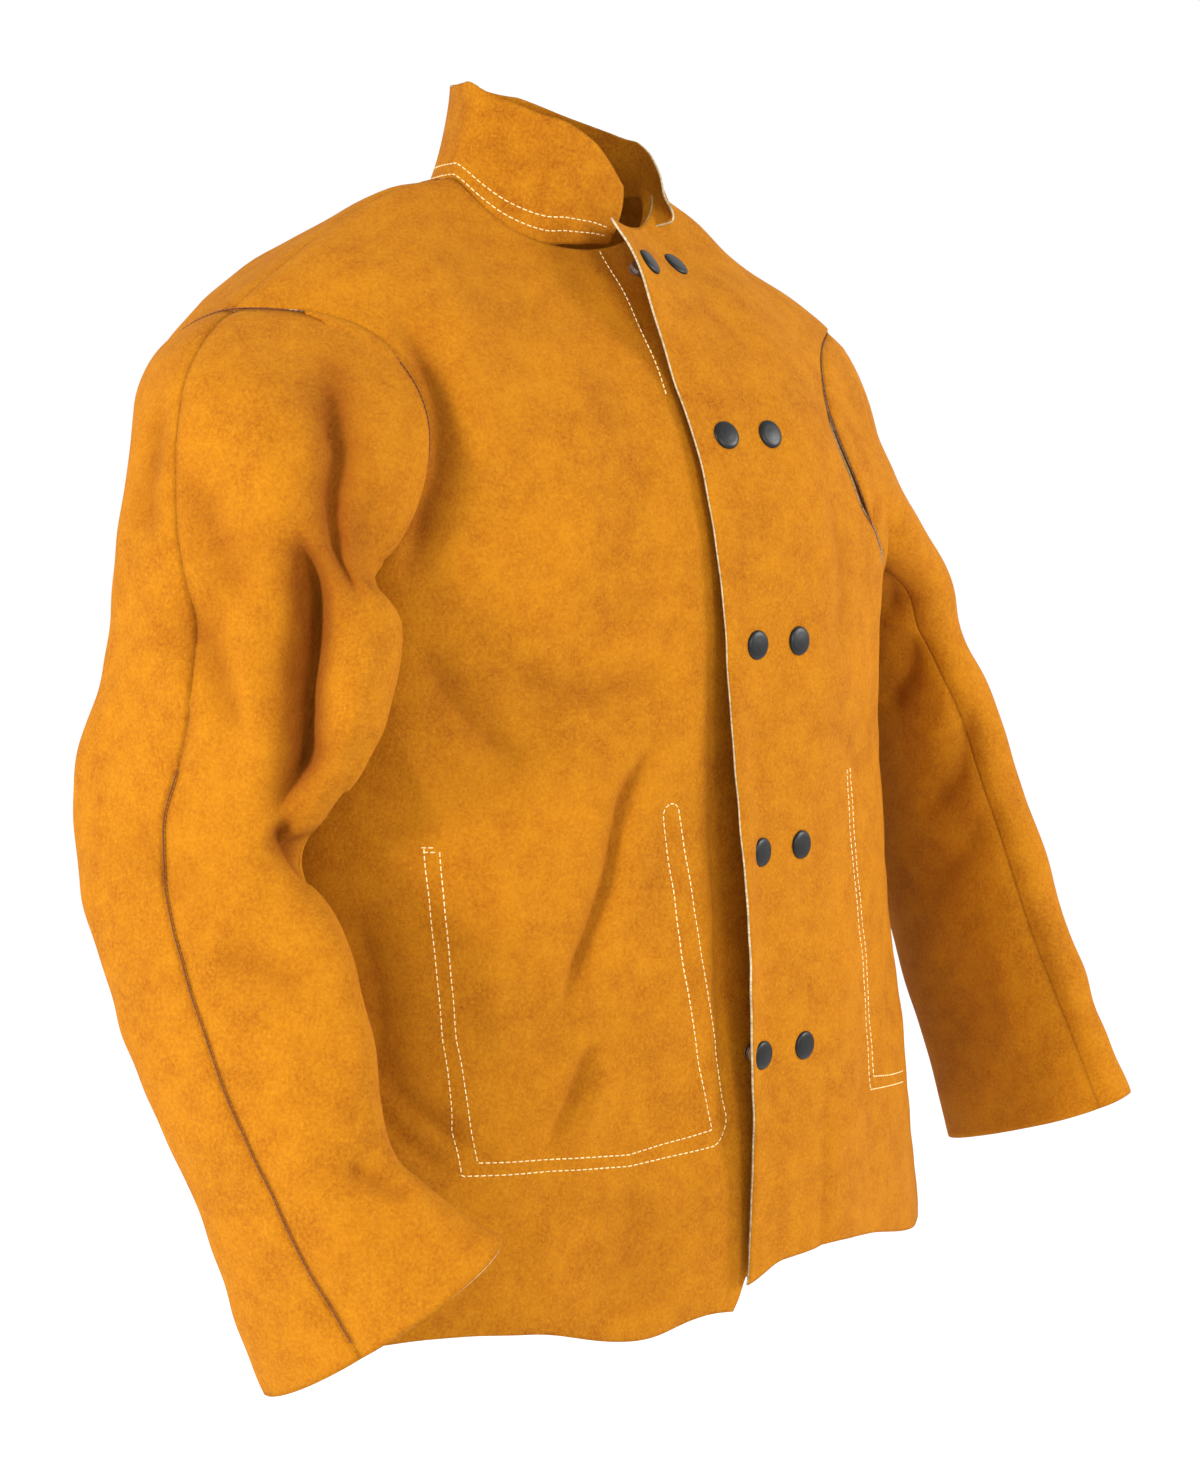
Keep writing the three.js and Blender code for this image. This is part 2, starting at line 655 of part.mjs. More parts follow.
const seatMargin = 1.5;
const rowHeights = snapHeights();
const topRow = rowHeights[0];
rowHeights.forEach((z, row) => {
  [0, 1].forEach((column) => {
    const lean = snapLean * smooth((z - armpitZ) / (topRow - armpitZ));
    const x = flapEdge + snapInset + column * snapSpread - lean;
    const base = vec(x, frontY(x, z), z);
    const normal = bodyNormal(base.x, base.y, base.z);
    const top = base.clone().addScaledVector(normal, overlapRise);
    flap = pressSeat(
      flap, top, normal, shankRadius + snapFit, capRadius + seatMargin, socketRadius + seatMargin,
    );
    rightFront = pressSeat(
      rightFront, base, normal, postShankRadius + snapFit, studFlangeRadius + seatMargin,
      postFlangeRadius + seatMargin,
    );
    const tag = `${row + 1}${column === 0 ? 'a' : 'b'}`;
    placeOnLeather(addMesh(`snap_cap_${tag}`, capGeometry(), capFace.clone()), top, normal);
    placeOnLeather(addMesh(`snap_socket_${tag}`, socketGeometry(), socketMetal.clone()), top, normal);
    placeOnLeather(addMesh(`snap_stud_${tag}`, studGeometry(), socketMetal.clone()), base, normal);
    placeOnLeather(addMesh(`snap_post_${tag}`, postGeometry(), socketMetal.clone()), base, normal);
  });
});

addMesh('back_panel', toGeometry(backPanel), suede());
addMesh('right_front_panel', toGeometry(rightFront), suede());
addMesh('left_front_panel', toGeometry(leftFront), suede());
addMesh('left_front_flap', toGeometry(flap), suede());
addMesh('collar', toGeometry(toSolid(collarGeometry())), collarSuede());
addMesh('right_pocket_bag', toGeometry(pocketBag(rightPocketStart, -1)), suede());
addMesh('left_pocket_bag', toGeometry(pocketBag(leftPocketStart, 1)), suede());
for (const [name, arm] of Object.entries(arms)) {
  const top = sleevePanel(arm, frontSleeveSeam + sleeveSeamTurn, backSleeveSeam - sleeveSeamTurn);
  const under = sleevePanel(arm, backSleeveSeam - 2 * Math.PI, frontSleeveSeam);
  addMesh(`${name}_sleeve_top`, toGeometry(top), suede());
  addMesh(`${name}_sleeve_under`, toGeometry(under), suede());
}

// The part hangs from its neck: the origin is the middle of the neck hole, level with its sides.
jacket.position.set(0, 0, -bodyLength);
const part = new THREE.Group();
part.add(jacket);
export default part;
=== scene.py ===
"""Leather welding jacket: the visual model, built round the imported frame.

Formulas work in millimetres with heights measured from the hem, and to_frame() turns their points
into the frame's metres. Turn 0 of the body is the wearer's left, 90 degrees is the front.
"""
import math

import bpy
import numpy as np
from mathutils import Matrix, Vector
from mathutils.bvhtree import BVHTree


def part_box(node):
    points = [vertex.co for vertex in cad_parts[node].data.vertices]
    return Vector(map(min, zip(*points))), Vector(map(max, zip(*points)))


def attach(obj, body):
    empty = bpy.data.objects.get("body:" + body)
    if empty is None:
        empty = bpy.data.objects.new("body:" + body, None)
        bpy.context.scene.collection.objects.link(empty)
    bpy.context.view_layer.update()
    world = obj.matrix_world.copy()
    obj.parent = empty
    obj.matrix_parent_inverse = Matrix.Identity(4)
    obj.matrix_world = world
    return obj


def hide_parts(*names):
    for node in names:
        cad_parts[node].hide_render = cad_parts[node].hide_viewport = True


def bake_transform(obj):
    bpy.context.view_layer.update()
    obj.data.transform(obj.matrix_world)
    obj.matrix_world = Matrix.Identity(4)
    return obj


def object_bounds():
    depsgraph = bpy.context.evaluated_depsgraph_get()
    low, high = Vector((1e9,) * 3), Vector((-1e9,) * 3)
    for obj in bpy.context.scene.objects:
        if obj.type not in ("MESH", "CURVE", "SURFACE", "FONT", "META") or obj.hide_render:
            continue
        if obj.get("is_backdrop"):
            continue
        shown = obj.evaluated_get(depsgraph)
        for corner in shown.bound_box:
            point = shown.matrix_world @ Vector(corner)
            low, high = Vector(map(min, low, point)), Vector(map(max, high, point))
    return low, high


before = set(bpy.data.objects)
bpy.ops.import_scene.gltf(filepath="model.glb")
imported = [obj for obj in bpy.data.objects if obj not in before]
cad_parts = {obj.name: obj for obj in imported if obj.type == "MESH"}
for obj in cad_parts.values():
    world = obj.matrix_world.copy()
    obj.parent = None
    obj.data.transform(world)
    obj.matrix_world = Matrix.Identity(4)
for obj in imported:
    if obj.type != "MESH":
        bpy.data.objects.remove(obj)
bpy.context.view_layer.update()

# ---------------------------------------------------------------- sizes from the frame
MM = 1000.0
back_low, back_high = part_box("back_panel")
flap_low, flap_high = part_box("left_front_flap")
body_length = -back_low.z * MM
hem_half_width = back_high.x * MM
flap_edge = flap_low.x * MM
flap_fold = flap_high.x * MM

leather = 1.6
shoulder_height = body_length - 86
armpit_height = shoulder_height - 210
armhole_height = (shoulder_height + armpit_height) / 2
waist_half_width = 268
chest_half_width = 306
shoulder_half_width = 262
front_depth = 170
back_depth = 154
section_power = 2.35
neck_half_width = 85
neck_front_reach = 46
neck_back_reach = 80
armhole_plane = 247
armhole_yaw = math.radians(20)
armhole_centre_y = -14
armhole_radius = 103
armhole_front_reach = 124
grid_step = 4.0
hem_swing = 11  # how far the whole hem hangs over to the wearer's left
corner_swing = 56  # and how much further the right back corner does
swing_height = 380
yoke_arch = 13.0
top_row_height, top_row_slide = 640, 11  # the first row of caps has slid towards the opening


# ---------------------------------------------------------------- small tools
def smooth(t):
    """Rises from 0 to 1 with level ends, 3 t^2 - 2 t^3."""
    t = np.clip(t, 0, 1)
    return t * t * (3 - 2 * t)


def mix(a, b, t):
    return a + (b - a) * t


def unit(v):
    return v / np.linalg.norm(v, axis=-1, keepdims=True)


def profile(pairs):
    """A curve through (station, value) pairs: cubic pieces whose slopes never overshoot."""
    x, y = np.array(pairs, float).T
    h = np.diff(x)
    d = np.diff(y) / h
    m = np.zeros_like(y)
    m[0], m[-1] = d[0], d[-1]
    wa, wb = 2 * h[1:] + h[:-1], h[1:] + 2 * h[:-1]
    turning = d[:-1] * d[1:] <= 0
    safe = np.where(turning, 1, d[:-1]), np.where(turning, 1, d[1:])
    m[1:-1] = np.where(turning, 0, (wa + wb) / (wa / safe[0] + wb / safe[1]))

    def value(at):
        i = np.clip(np.searchsorted(x, at) - 1, 0, len(h) - 1)
        t = np.clip((at - x[i]) / h[i], 0, 1)
        rise = t * t * (3 - 2 * t)
        slopes = t * (1 - t) ** 2 * m[i] + t * t * (t - 1) * m[i + 1]
        return y[i] * (1 - rise) + y[i + 1] * rise + slopes * h[i]

    return value


def path_through(stations, values, at):
    """A smooth path of vectors: cubic pieces with the slope of the two neighbours at each station."""
    x, y = np.array(stations, float), np.array(values, float)
    slope = np.gradient(y, x, axis=0)
    i = np.clip(np.searchsorted(x, at) - 1, 0, len(x) - 2)
    h = (x[i + 1] - x[i])[:, None]
    t = np.clip((at[:, None] - x[i][:, None]) / h, 0, 1)
    return (
        y[i] * (2 * t**3 - 3 * t**2 + 1) + slope[i] * h * (t**3 - 2 * t**2 + t)
        + y[i + 1] * (3 * t**2 - 2 * t**3) + slope[i + 1] * h * (t**3 - t**2)
    )


def ripple(points, wavelength, seed, waves=7):
    """A soft wandering field near -1 to 1: sines along random directions, one draw per seed."""
    rng = np.random.default_rng(seed)
    total = np.zeros(points.shape[:-1])
    for _ in range(waves):
        direction = unit(rng.normal(size=3)) * 2 * np.pi / (wavelength * rng.uniform(0.7, 1.5))
        total += np.sin(points @ direction + rng.uniform(0, 2 * np.pi))
    return total / math.sqrt(waves)


# ---------------------------------------------------------------- body surface
def upper(share):
    return mix(armpit_height, shoulder_height, share)


def yoke(share):
    return mix(shoulder_height, body_length, share)


half_width = profile([
    (0, hem_half_width),
    (armpit_height * 0.26, mix(waist_half_width, hem_half_width, 0.62)),
    (armpit_height * 0.59, mix(waist_half_width, hem_half_width, 0.22)),
    (armpit_height * 0.85, waist_half_width),
    (armpit_height, waist_half_width + 4),
    (upper(0.29), chest_half_width - 16),
    (upper(0.52), chest_half_width),
    (upper(0.76), chest_half_width - 6),
    (shoulder_height, shoulder_half_width),
    (yoke(0.51), mix(shoulder_half_width, neck_half_width, 0.51)),
    (body_length, neck_half_width + 1),
])
front_reach = profile([
    (0, front_depth),
    (armpit_height * 0.26, front_depth + 2),
    (armpit_height, front_depth - 3),
    (upper(0.29), front_depth - 10),
    (upper(0.52), front_depth - 23),
    (upper(0.76), front_depth - 48),
    (shoulder_height, front_depth - 86),
    (yoke(0.51), neck_front_reach - 2),
    (body_length, neck_front_reach * 0.4),
])
back_reach = profile([
    (0, back_depth + 8),
    (armpit_height * 0.26, back_depth + 2),
    (armpit_height * 0.85, back_depth - 8),
    (armpit_height, back_depth - 4),
    (upper(0.29), back_depth - 1),
    (upper(0.76), back_depth - 8),
    (shoulder_height, back_depth - 22),
    (yoke(0.51), mix(back_depth - 22, neck_back_reach, 0.5)),
    (body_length, neck_back_reach - 2),
])


def body_level(x, y, z):
    """|x/A|^n + |y/B|^n, which is 1 on the body surface and less inside it."""
    reach = np.where(y < 0, front_reach(z), back_reach(z))
    return (np.abs(x) / half_width(z)) ** section_power + (np.abs(y) / reach) ** section_power


def body_point(turn, z):
    """The point of the rounded section at a turn and a height."""
    c, s = np.cos(turn), np.sin(turn)
    bend = 2 / section_power
    x = half_width(z) * np.sign(c) * np.abs(c) ** bend
    y = np.where(s > 0, -front_reach(z), back_reach(z)) * np.abs(s) ** bend
    return np.stack([x, y, z + 0 * turn], -1)


def body_turn(x, y, z):
    """The turn of a point of the surface, from 0 to a full turn."""
    half = section_power / 2
    reach = np.where(y < 0, front_reach(z), back_reach(z))
    c = np.sign(x) * (np.abs(x) / half_width(z)) ** half
    s = -np.sign(y) * (np.abs(y) / reach) ** half
    return np.mod(np.arctan2(s, c), 2 * np.pi)


def body_normal(points):
    """Outward unit normal: the gradient of body_level, by small steps."""
    step = 0.5
    x, y, z = points[..., 0], points[..., 1], np.clip(points[..., 2], step, body_length - step)
    gradient = np.stack([
        body_level(x + step, y, z) - body_level(x - step, y, z),
        body_level(x, y + step, z) - body_level(x, y - step, z),
        body_level(x, y, z + step) - body_level(x, y, z - step),
    ], -1)
    return unit(gradient)


def front_y(x, z):
    share = np.clip(1 - (np.abs(x) / half_width(z)) ** section_power, 0, 1)
    return -front_reach(z) * share ** (1 / section_power)


def front_turn(x, z):
    return body_turn(x, np.minimum(front_y(x, z), -1e-6), z)


def armhole_axes(side):
    """Outward normal, forward direction and centre of an armhole. side is 1 left, -1 right."""
    s, c = math.sin(armhole_yaw), math.cos(armhole_yaw)
    normal = np.array([side * c, -s, 0])
    forward = np.array([-side * s, -c, 0])
    centre = np.array([
        side * (armhole_plane + armhole_centre_y * math.tan(armhole_yaw)), armhole_centre_y, armhole_height
    ])
    return normal, forward, centre


def armhole_curve(side, angle):
    """The armhole seam: an oval in the armhole plane, carried along its normal onto the body."""
    normal, forward, centre = armhole_axes(side)
    up = np.array([0, 0, 1.0])
    reach = np.where(np.cos(angle) > 0, armhole_front_reach, armhole_radius) * np.cos(angle)
    ring = centre + reach[:, None] * forward + armhole_radius * np.sin(angle)[:, None] * up
    low, high = np.full(len(angle), -70.0), np.full(len(angle), 110.0)
    for _ in range(36):
        middle = (low + high) / 2
        p = ring + middle[:, None] * normal
        inside = body_level(p[:, 0], p[:, 1], p[:, 2]) < 1
        low, high = np.where(inside, middle, low), np.where(inside, high, middle)
    return ring + low[:, None] * normal


def lower_left_shoulder(points):
    """The wearer's left shoulder hangs a little lower and nearer than the right one."""
    share = smooth((points[..., 0] - 60) / 190) * smooth((points[..., 2] - 430) / 200)
    return points + share[..., None] * np.array([-13.0, 0, -10.0])


def raise_right_yoke(points):
    """The leather between the neck and the right shoulder point stands up in a low arch."""
    x, z = points[..., 0], points[..., 2]
    arch = smooth((-x - 70) / 70) * (1 - smooth((-x - 170) / 100)) * smooth((z - 600) / 90)
    return points + arch[..., None] * np.array([0, 0, yoke_arch])


def swing_hem(points):
    """The lower body hangs swung to the wearer's left, and its right back corner is drawn in."""
    low = 1 - smooth(points[..., 2] / swing_height)
    corner = smooth((-points[..., 0] - 110) / 140) * smooth((points[..., 1] + 90) / 120)
    return points + (low * (hem_swing + corner_swing * corner))[..., None] * np.array([1.0, 0, 0])


def to_frame(points):
    return (raise_right_yoke(lower_left_shoulder(points)) - np.array([0, 0, body_length])) / MM


# ---------------------------------------------------------------- folds
def stroke_field(points, strokes):
    """Heights of listed folds: each stroke is a line of places with a depth and a width. Its
    height dies away to both sides of the line, and eases out at both ends."""
    flat = points.reshape(-1, 3)
    total = np.zeros(len(flat))
    for line, depth, width in strokes:
        run = np.r_[0, np.cumsum(np.linalg.norm(np.diff(line, axis=0), axis=1))]
        nearest = np.full(len(flat), 1e9)
        along = np.zeros(len(flat))
        for a, b, start in zip(line[:-1], line[1:], run):
            ab = b - a
            t = np.clip((flat - a) @ ab / (ab @ ab), 0, 1)
            distance = np.linalg.norm(flat - a - t[:, None] * ab, axis=1)
            closer = distance < nearest
            nearest = np.where(closer, distance, nearest)
            along = np.where(closer, start + t * np.linalg.norm(ab), along)
        share = along / run[-1]
        ease = smooth(share / 0.3 + 0.15) * smooth((1 - share) / 0.3 + 0.15)
        total += depth * ease * np.exp(-((nearest / width) ** fold_sharpness))
    return total.reshape(points.shape[:-1])


def bend_through(places, count=24):
    """A smooth line through a few places."""
    line = np.array(places, float)
    run = np.r_[0, np.cumsum(np.linalg.norm(np.diff(line, axis=0), axis=1))]
    return path_through(run, line, np.linspace(0, run[-1], count))


def on_front(*strokes):
    """Strokes laid on the fronts: their places are x and height."""
    laid = []
    for places, depth, width in strokes:
        x, z = bend_through(places).T
        laid.append((np.stack([x, front_y(x, z), z], -1), depth, width))
    return laid


fold_sharpness = 1.25
right_strokes = on_front(
    ([(-180, 668), (-168, 628), (-174, 590), (-190, 550), (-206, 505)], -11, 12),
    ([(-150, 640), (-150, 600), (-160, 550)], 2.5, 14),
    ([(-138, 680), (-134, 630), (-142, 575)], 3, 22),
    ([(-30, 400), (-60, 360), (-74, 310), (-90, 272), (-106, 238), (-114, 212)], -9, 6.5),
    ([(-12, 385), (-42, 345), (-54, 300), (-70, 262)], 3.5, 15),
    ([(-92, 200), (-104, 172), (-128, 132)], -6, 6.5),
    ([(-80, 190), (-90, 160), (-110, 128)], 3, 12),
    ([(-232, 200), (-208, 165), (-180, 138)], -5, 8),
    ([(-240, 175), (-215, 145), (-190, 120)], -3.5, 7),
    ([(-160, 448), (-90, 432), (-10, 440)], -4.5, 11),
    ([(-150, 470), (-80, 458), (-20, 466)], 2, 14),
    ([(-130, 415), (-60, 405), (0, 416)], 2, 12),
    ([(-20, 500), (-70, 470), (-110, 440)], -2.5, 10),
    ([(-60, 640), (-80, 560), (-70, 480)], 3.5, 34),
    ([(-20, 600), (-50, 540), (-90, 500)], -2.5, 12),
    ([(-200, 470), (-170, 420), (-130, 380)], -5, 13),
    ([(-215, 420), (-190, 360), (-170, 300)], 4, 18),
    ([(-236, 300), (-226, 240), (-230, 180)], -6, 14),
    ([(0, 560), (-8, 480), (0, 400)], 2, 18),
    ([(-150, 330), (-160, 240), (-150, 160)], 3, 30),
    ([(-20, 320), (-30, 240), (-20, 170)], 3, 26),
    ([(-60, 100), (-70, 50), (-60, 0)], -3, 24),
    ([(-140, 90), (-130, 40), (-136, 0)], 3.5, 26),
)
left_strokes = on_front(
    ([(104, 140), (106, 70), (104, 0)], -2.5, 5),
    ([(134, 560), (150, 500), (140, 430)], -4, 14),
    ([(180, 620), (196, 570), (214, 530)], -6, 14),
    ([(120, 420), (150, 380), (200, 350)], -2.5, 14),
    ([(60, 380), (72, 240), (66, 120)], 1.5, 26),
    ([(150, 260), (140, 160), (150, 60)], 2.5, 28),
)
sleeve_folds = {
    "right": [
        ([(0.02, 60), (0.06, 42), (0.10, 28), (0.16, 22), (0.22, 30)], -19, 12),
        ([(0.03, 80), (0.08, 62), (0.14, 50)], 4, 16),
        ([(0.06, 12), (0.11, 2), (0.17, -6)], -5, 12),
        ([(0.14, 44), (0.20, 50), (0.27, 53), (0.34, 49), (0.41, 42), (0.46, 40)], -34, 10),
        ([(0.20, 70), (0.28, 72), (0.36, 64), (0.42, 54)], 7, 16),
        ([(0.22, 28), (0.30, 26), (0.38, 22)], 7, 15),
        ([(0.24, 4), (0.30, 4), (0.37, 8)], 6, 20),
        ([(0.46, 42), (0.485, 22), (0.50, 0), (0.50, -30)], -22, 11),
        ([(0.50, 60), (0.51, 30), (0.52, 0)], 5, 16),
        ([(0.12, 86), (0.17, 78), (0.22, 74)], -6, 14),
        ([(0.21, 94), (0.27, 86), (0.33, 76), (0.38, 62)], -9, 15),
        ([(0.26, 104), (0.32, 92), (0.38, 80)], 4, 15),
        ([(0.07, 106), (0.12, 110), (0.17, 112)], -6, 13),
        ([(0.44, 110), (0.50, 90), (0.54, 70)], -3, 16),
        ([(0.57, 74), (0.62, 50), (0.66, 30)], -4, 16),
        ([(0.84, 40), (0.88, 22), (0.91, 4)], -9, 12),
        ([(0.78, 60), (0.86, 64), (0.96, 52)], 4, 22),
        ([(0.30, 200), (0.36, 230), (0.40, 262)], -9, 14),
        ([(0.46, 190), (0.48, 225), (0.47, 262)], -9, 14),
    ],
    "left": [
        ([(0.05, 140), (0.12, 160), (0.20, 190)], -7, 14),
        ([(0.12, -20), (0.20, -34), (0.28, -52)], -8, 13),
        ([(0.18, -60), (0.25, -78), (0.30, -100)], -8, 13),
        ([(0.30, -30), (0.36, -50), (0.42, -80)], -8, 12),
        ([(0.34, -20), (0.41, -36), (0.48, -64)], 5, 15),
        ([(0.40, -14), (0.50, -40), (0.56, -80)], -7, 12),
        ([(0.55, -30), (0.62, -60), (0.66, -96)], -4, 16),
        ([(0.70, -40), (0.80, -60), (0.92, -70)], 4, 22),
        ([(0.66, -20), (0.80, -26), (0.94, -30)], -3, 18),
    ],
}


# ---------------------------------------------------------------- materials
def linear(code):
    """An sRGB hex colour as a linear RGBA tuple."""
    parts = [int(code[i:i + 2], 16) / 255 for i in (1, 3, 5)]
    return tuple(c / 12.92 if c <= 0.04045 else ((c + 0.055) / 1.055) ** 2.4 for c in parts) + (1.0,)


def add_node(tree, kind, inputs=None, **settings):
    """Adds a node, sets its properties, and fills or links its inputs."""
    node = tree.nodes.new(kind)
    for key, value in settings.items():
        setattr(node, key, value)
    for key, value in (inputs or {}).items():
        if isinstance(value, bpy.types.NodeSocket):
            tree.links.new(value, node.inputs[key])
        else:
            node.inputs[key].default_value = value
    return node


def new_material(name):
    material = bpy.data.materials.new(name)
    material.use_nodes = True
    tree = material.node_tree
    tree.nodes.clear()
    shader = add_node(tree, "ShaderNodeBsdfPrincipled")
    output = add_node(tree, "ShaderNodeOutputMaterial", {"Surface": shader.outputs["BSDF"]})
    output.location.x = 300
    return material, tree, shader


def noise(tree, where, size_mm, detail=2.0, roughness=0.55):
    """Noise whose grains are about size_mm across."""
    return add_node(tree, "ShaderNodeTexNoise", {
        "Vector": where, "Scale": MM / size_mm, "Detail": detail, "Roughness": roughness,
    }).outputs["Fac"]


def ramp(tree, factor, low, high):
    """Stretches a factor from low..high to 0..1."""
    return add_node(tree, "ShaderNodeMapRange", {
        "Value": factor, "From Min": low, "From Max": high,
    }, clamp=True).outputs["Result"]


def blend_colour(tree, factor, a, b, mode="MIX"):
    node = add_node(tree, "ShaderNodeMix", data_type="RGBA", blend_type=mode)
    for key, value in (("Factor", factor), ("A", a), ("B", b)):
        socket = next(s for s in node.inputs if s.name == key and s.enabled)
        if isinstance(value, bpy.types.NodeSocket):
            tree.links.new(value, socket)
        else:
            socket.default_value = value
    return next(s for s in node.outputs if s.enabled)


def split_suede(name, base="#A05A05", light="#B6740C", deep="#813A03"):
    """Cowhide split leather, napped on both sides: a dry matt face of short fibres, golden tan,
    mottled in patches, with painted shade, darker and redder, in its creases, and a soft sheen off its nap."""
    material, tree, shader = new_material(name)
    place = add_node(tree, "ShaderNodeAttribute", attribute_name="cut_place").outputs["Vector"]
    # This attribute is painted shade: a share of darker colour laid into the deep folds, where shade falls.
    crease_shade = add_node(tree, "ShaderNodeAttribute", attribute_name="crease_shade").outputs["Fac"]
    patches = ramp(tree, noise(tree, place, 60, 4, 0.62), 0.34, 0.66)
    clouds = ramp(tree, noise(tree, place, 16, 3), 0.3, 0.7)
    nap = ramp(tree, noise(tree, place, 2.2, 4, 0.8), 0.34, 0.66)  # fibre tufts, drawn coarser than life
    colour = blend_colour(tree, patches, linear(deep), linear(base))
    colour = blend_colour(tree, 0.7, linear(base), colour)
    cloud_share = add_node(tree, "ShaderNodeMath", {0: clouds, 1: 0.5}, operation="MULTIPLY").outputs[0]
    colour = blend_colour(tree, cloud_share, colour, linear(light))
    nap_share = add_node(tree, "ShaderNodeMath", {0: nap, 1: 0.5}, operation="MULTIPLY").outputs[0]
    colour = blend_colour(tree, nap_share, colour, linear("#CC8A16"))
    # Painted shade: the colour goes towards deep red-brown by the share laid in the creases.
    colour = blend_colour(tree, crease_shade, colour, linear("#6A2504"))
    tree.links.new(colour, shader.inputs["Base Color"])
    pile = add_node(tree, "ShaderNodeBump", {"Strength": 0.55, "Distance": 0.0008, "Height": nap})
    skin = add_node(tree, "ShaderNodeBump", {
        "Strength": 0.5, "Distance": 0.0018, "Height": noise(tree, place, 14, 4), "Normal": pile.outputs[0],
    })
    tree.links.new(skin.outputs[0], shader.inputs["Normal"])
    shader.inputs["Roughness"].default_value = 0.92
    shader.inputs["Specular IOR Level"].default_value = 0.12
    shader.inputs["Sheen Weight"].default_value = 0.06
    shader.inputs["Sheen Roughness"].default_value = 0.45
    shader.inputs["Sheen Tint"].default_value = linear("#E8A040")
    return material


def cut_edge(name):
    """The raw cut of the split: pale grey-beige fibres with no dye in the middle of the hide."""
    material, tree, shader = new_material(name)
    place = add_node(tree, "ShaderNodeAttribute", attribute_name="cut_place").outputs["Vector"]
    fibres = ramp(tree, noise(tree, place, 2.2, 2), 0.3, 0.7)
    colour = blend_colour(tree, fibres, linear("#8F8062"), linear("#C9BC98"))
    tree.links.new(colour, shader.inputs["Base Color"])
    shader.inputs["Roughness"].default_value = 0.95
    return material


def sewing_thread(name, colour, worn):
    """Bonded sewing thread: smooth twisted filament with a faint gloss, a little soiled."""
    material, tree, shader = new_material(name)
    place = add_node(tree, "ShaderNodeTexCoord").outputs["Object"]
    soil = ramp(tree, noise(tree, place, 9, 2), 0.35, 0.75)
    tree.links.new(blend_colour(tree, soil, linear(colour), linear(worn)), shader.inputs["Base Color"])
    shader.inputs["Roughness"].default_value = 0.6
    return material


def black_enamel(name):
    """Stove enamel on a pressed brass cap: near black, satin, scuffed a little."""
    material, tree, shader = new_material(name)
    place = add_node(tree, "ShaderNodeTexCoord").outputs["Object"]
    scuffs = ramp(tree, noise(tree, place, 1.5, 4, 0.7), 0.55, 0.8)
    colour = blend_colour(tree, scuffs, linear("#070708"), linear("#1B1C1E"))
    tree.links.new(colour, shader.inputs["Base Color"])
    dull = add_node(tree, "ShaderNodeMapRange", {"Value": scuffs, "To Min": 0.38, "To Max": 0.6})
    tree.links.new(dull.outputs[0], shader.inputs["Roughness"])
    shader.inputs["Specular IOR Level"].default_value = 0.3
    return material


def plated_steel(name):
    """Pressed steel with a nickel flash: the hidden halves of the snaps."""
    material, tree, shader = new_material(name)
    place = add_node(tree, "ShaderNodeTexCoord").outputs["Object"]
    marks = noise(tree, place, 0.8, 3)
    rough = add_node(tree, "ShaderNodeMapRange", {"Value": marks, "To Min": 0.28, "To Max": 0.5})
    tree.links.new(rough.outputs[0], shader.inputs["Roughness"])
    shader.inputs["Base Color"].default_value = linear("#A9ABAC")
    shader.inputs["Metallic"].default_value = 1.0
    return material


suede = split_suede("golden_split_suede")
# The collar is the same split leather with a darker base: painted shade over the whole collar.
collar_suede_painted_shade = split_suede("collar_split_suede_painted_shade", base="#924C04")
edge_of_hide = cut_edge("raw_cut_edge")
cream_thread = sewing_thread("cream_sewing_thread", "#F0DCA4", "#D9BC7C")
brown_thread = sewing_thread("red_brown_seam_thread", "#6B2F16", "#4E2210")
cap_enamel = black_enamel("black_enamelled_cap")
snap_steel = plated_steel("nickel_flashed_steel")


# ---------------------------------------------------------------- pieces from grids
def grid_faces(rows, columns):
    """The four-sided faces of a grid of points."""
    index = np.arange(rows * columns).reshape(rows, columns)
    corners = [index[:-1, :-1], index[:-1, 1:], index[1:, 1:], index[1:, :-1]]
    return np.stack(corners, -1).reshape(-1, 4)


def add_piece(name, places, faces, materials):
    """A smooth-shaded mesh in the scene, from points in the frame."""
    mesh = bpy.data.meshes.new(name)
    mesh.from_pydata(places, [], faces)
    mesh.polygons.foreach_set("use_smooth", np.ones(len(faces), bool))
    for material in materials:
        mesh.materials.append(material)
    piece = bpy.data.objects.new(name, mesh)
    bpy.context.scene.collection.objects.link(piece)
    return piece


def grid_piece(name, points, materials, crease_shade=None):
    """A leather sheet from a grid of outer points (rows by columns) whose faces point outwards, with
    its thickness inwards. The cut edge gets the second material."""
    placed = to_frame(points).reshape(-1, 3)
    piece = add_piece(name, placed, grid_faces(*points.shape[:2]).tolist(), materials)
    where = piece.data.attributes.new("cut_place", "FLOAT_VECTOR", "POINT")
    where.data.foreach_set("vector", placed.astype(np.float32).ravel())
    # The last argument is painted shade for the deep folds, kept as a point attribute.
    depth = np.zeros(len(placed)) if crease_shade is None else np.asarray(crease_shade).ravel()
    crease_shade_layer = piece.data.attributes.new("crease_shade", "FLOAT", "POINT")
    crease_shade_layer.data.foreach_set("value", depth.astype(np.float32))
    wall = piece.modifiers.new("wall", "SOLIDIFY")
    wall.thickness = leather / MM
    wall.offset = -1
    wall.use_rim = True
    wall.material_offset_rim = 1
    return piece


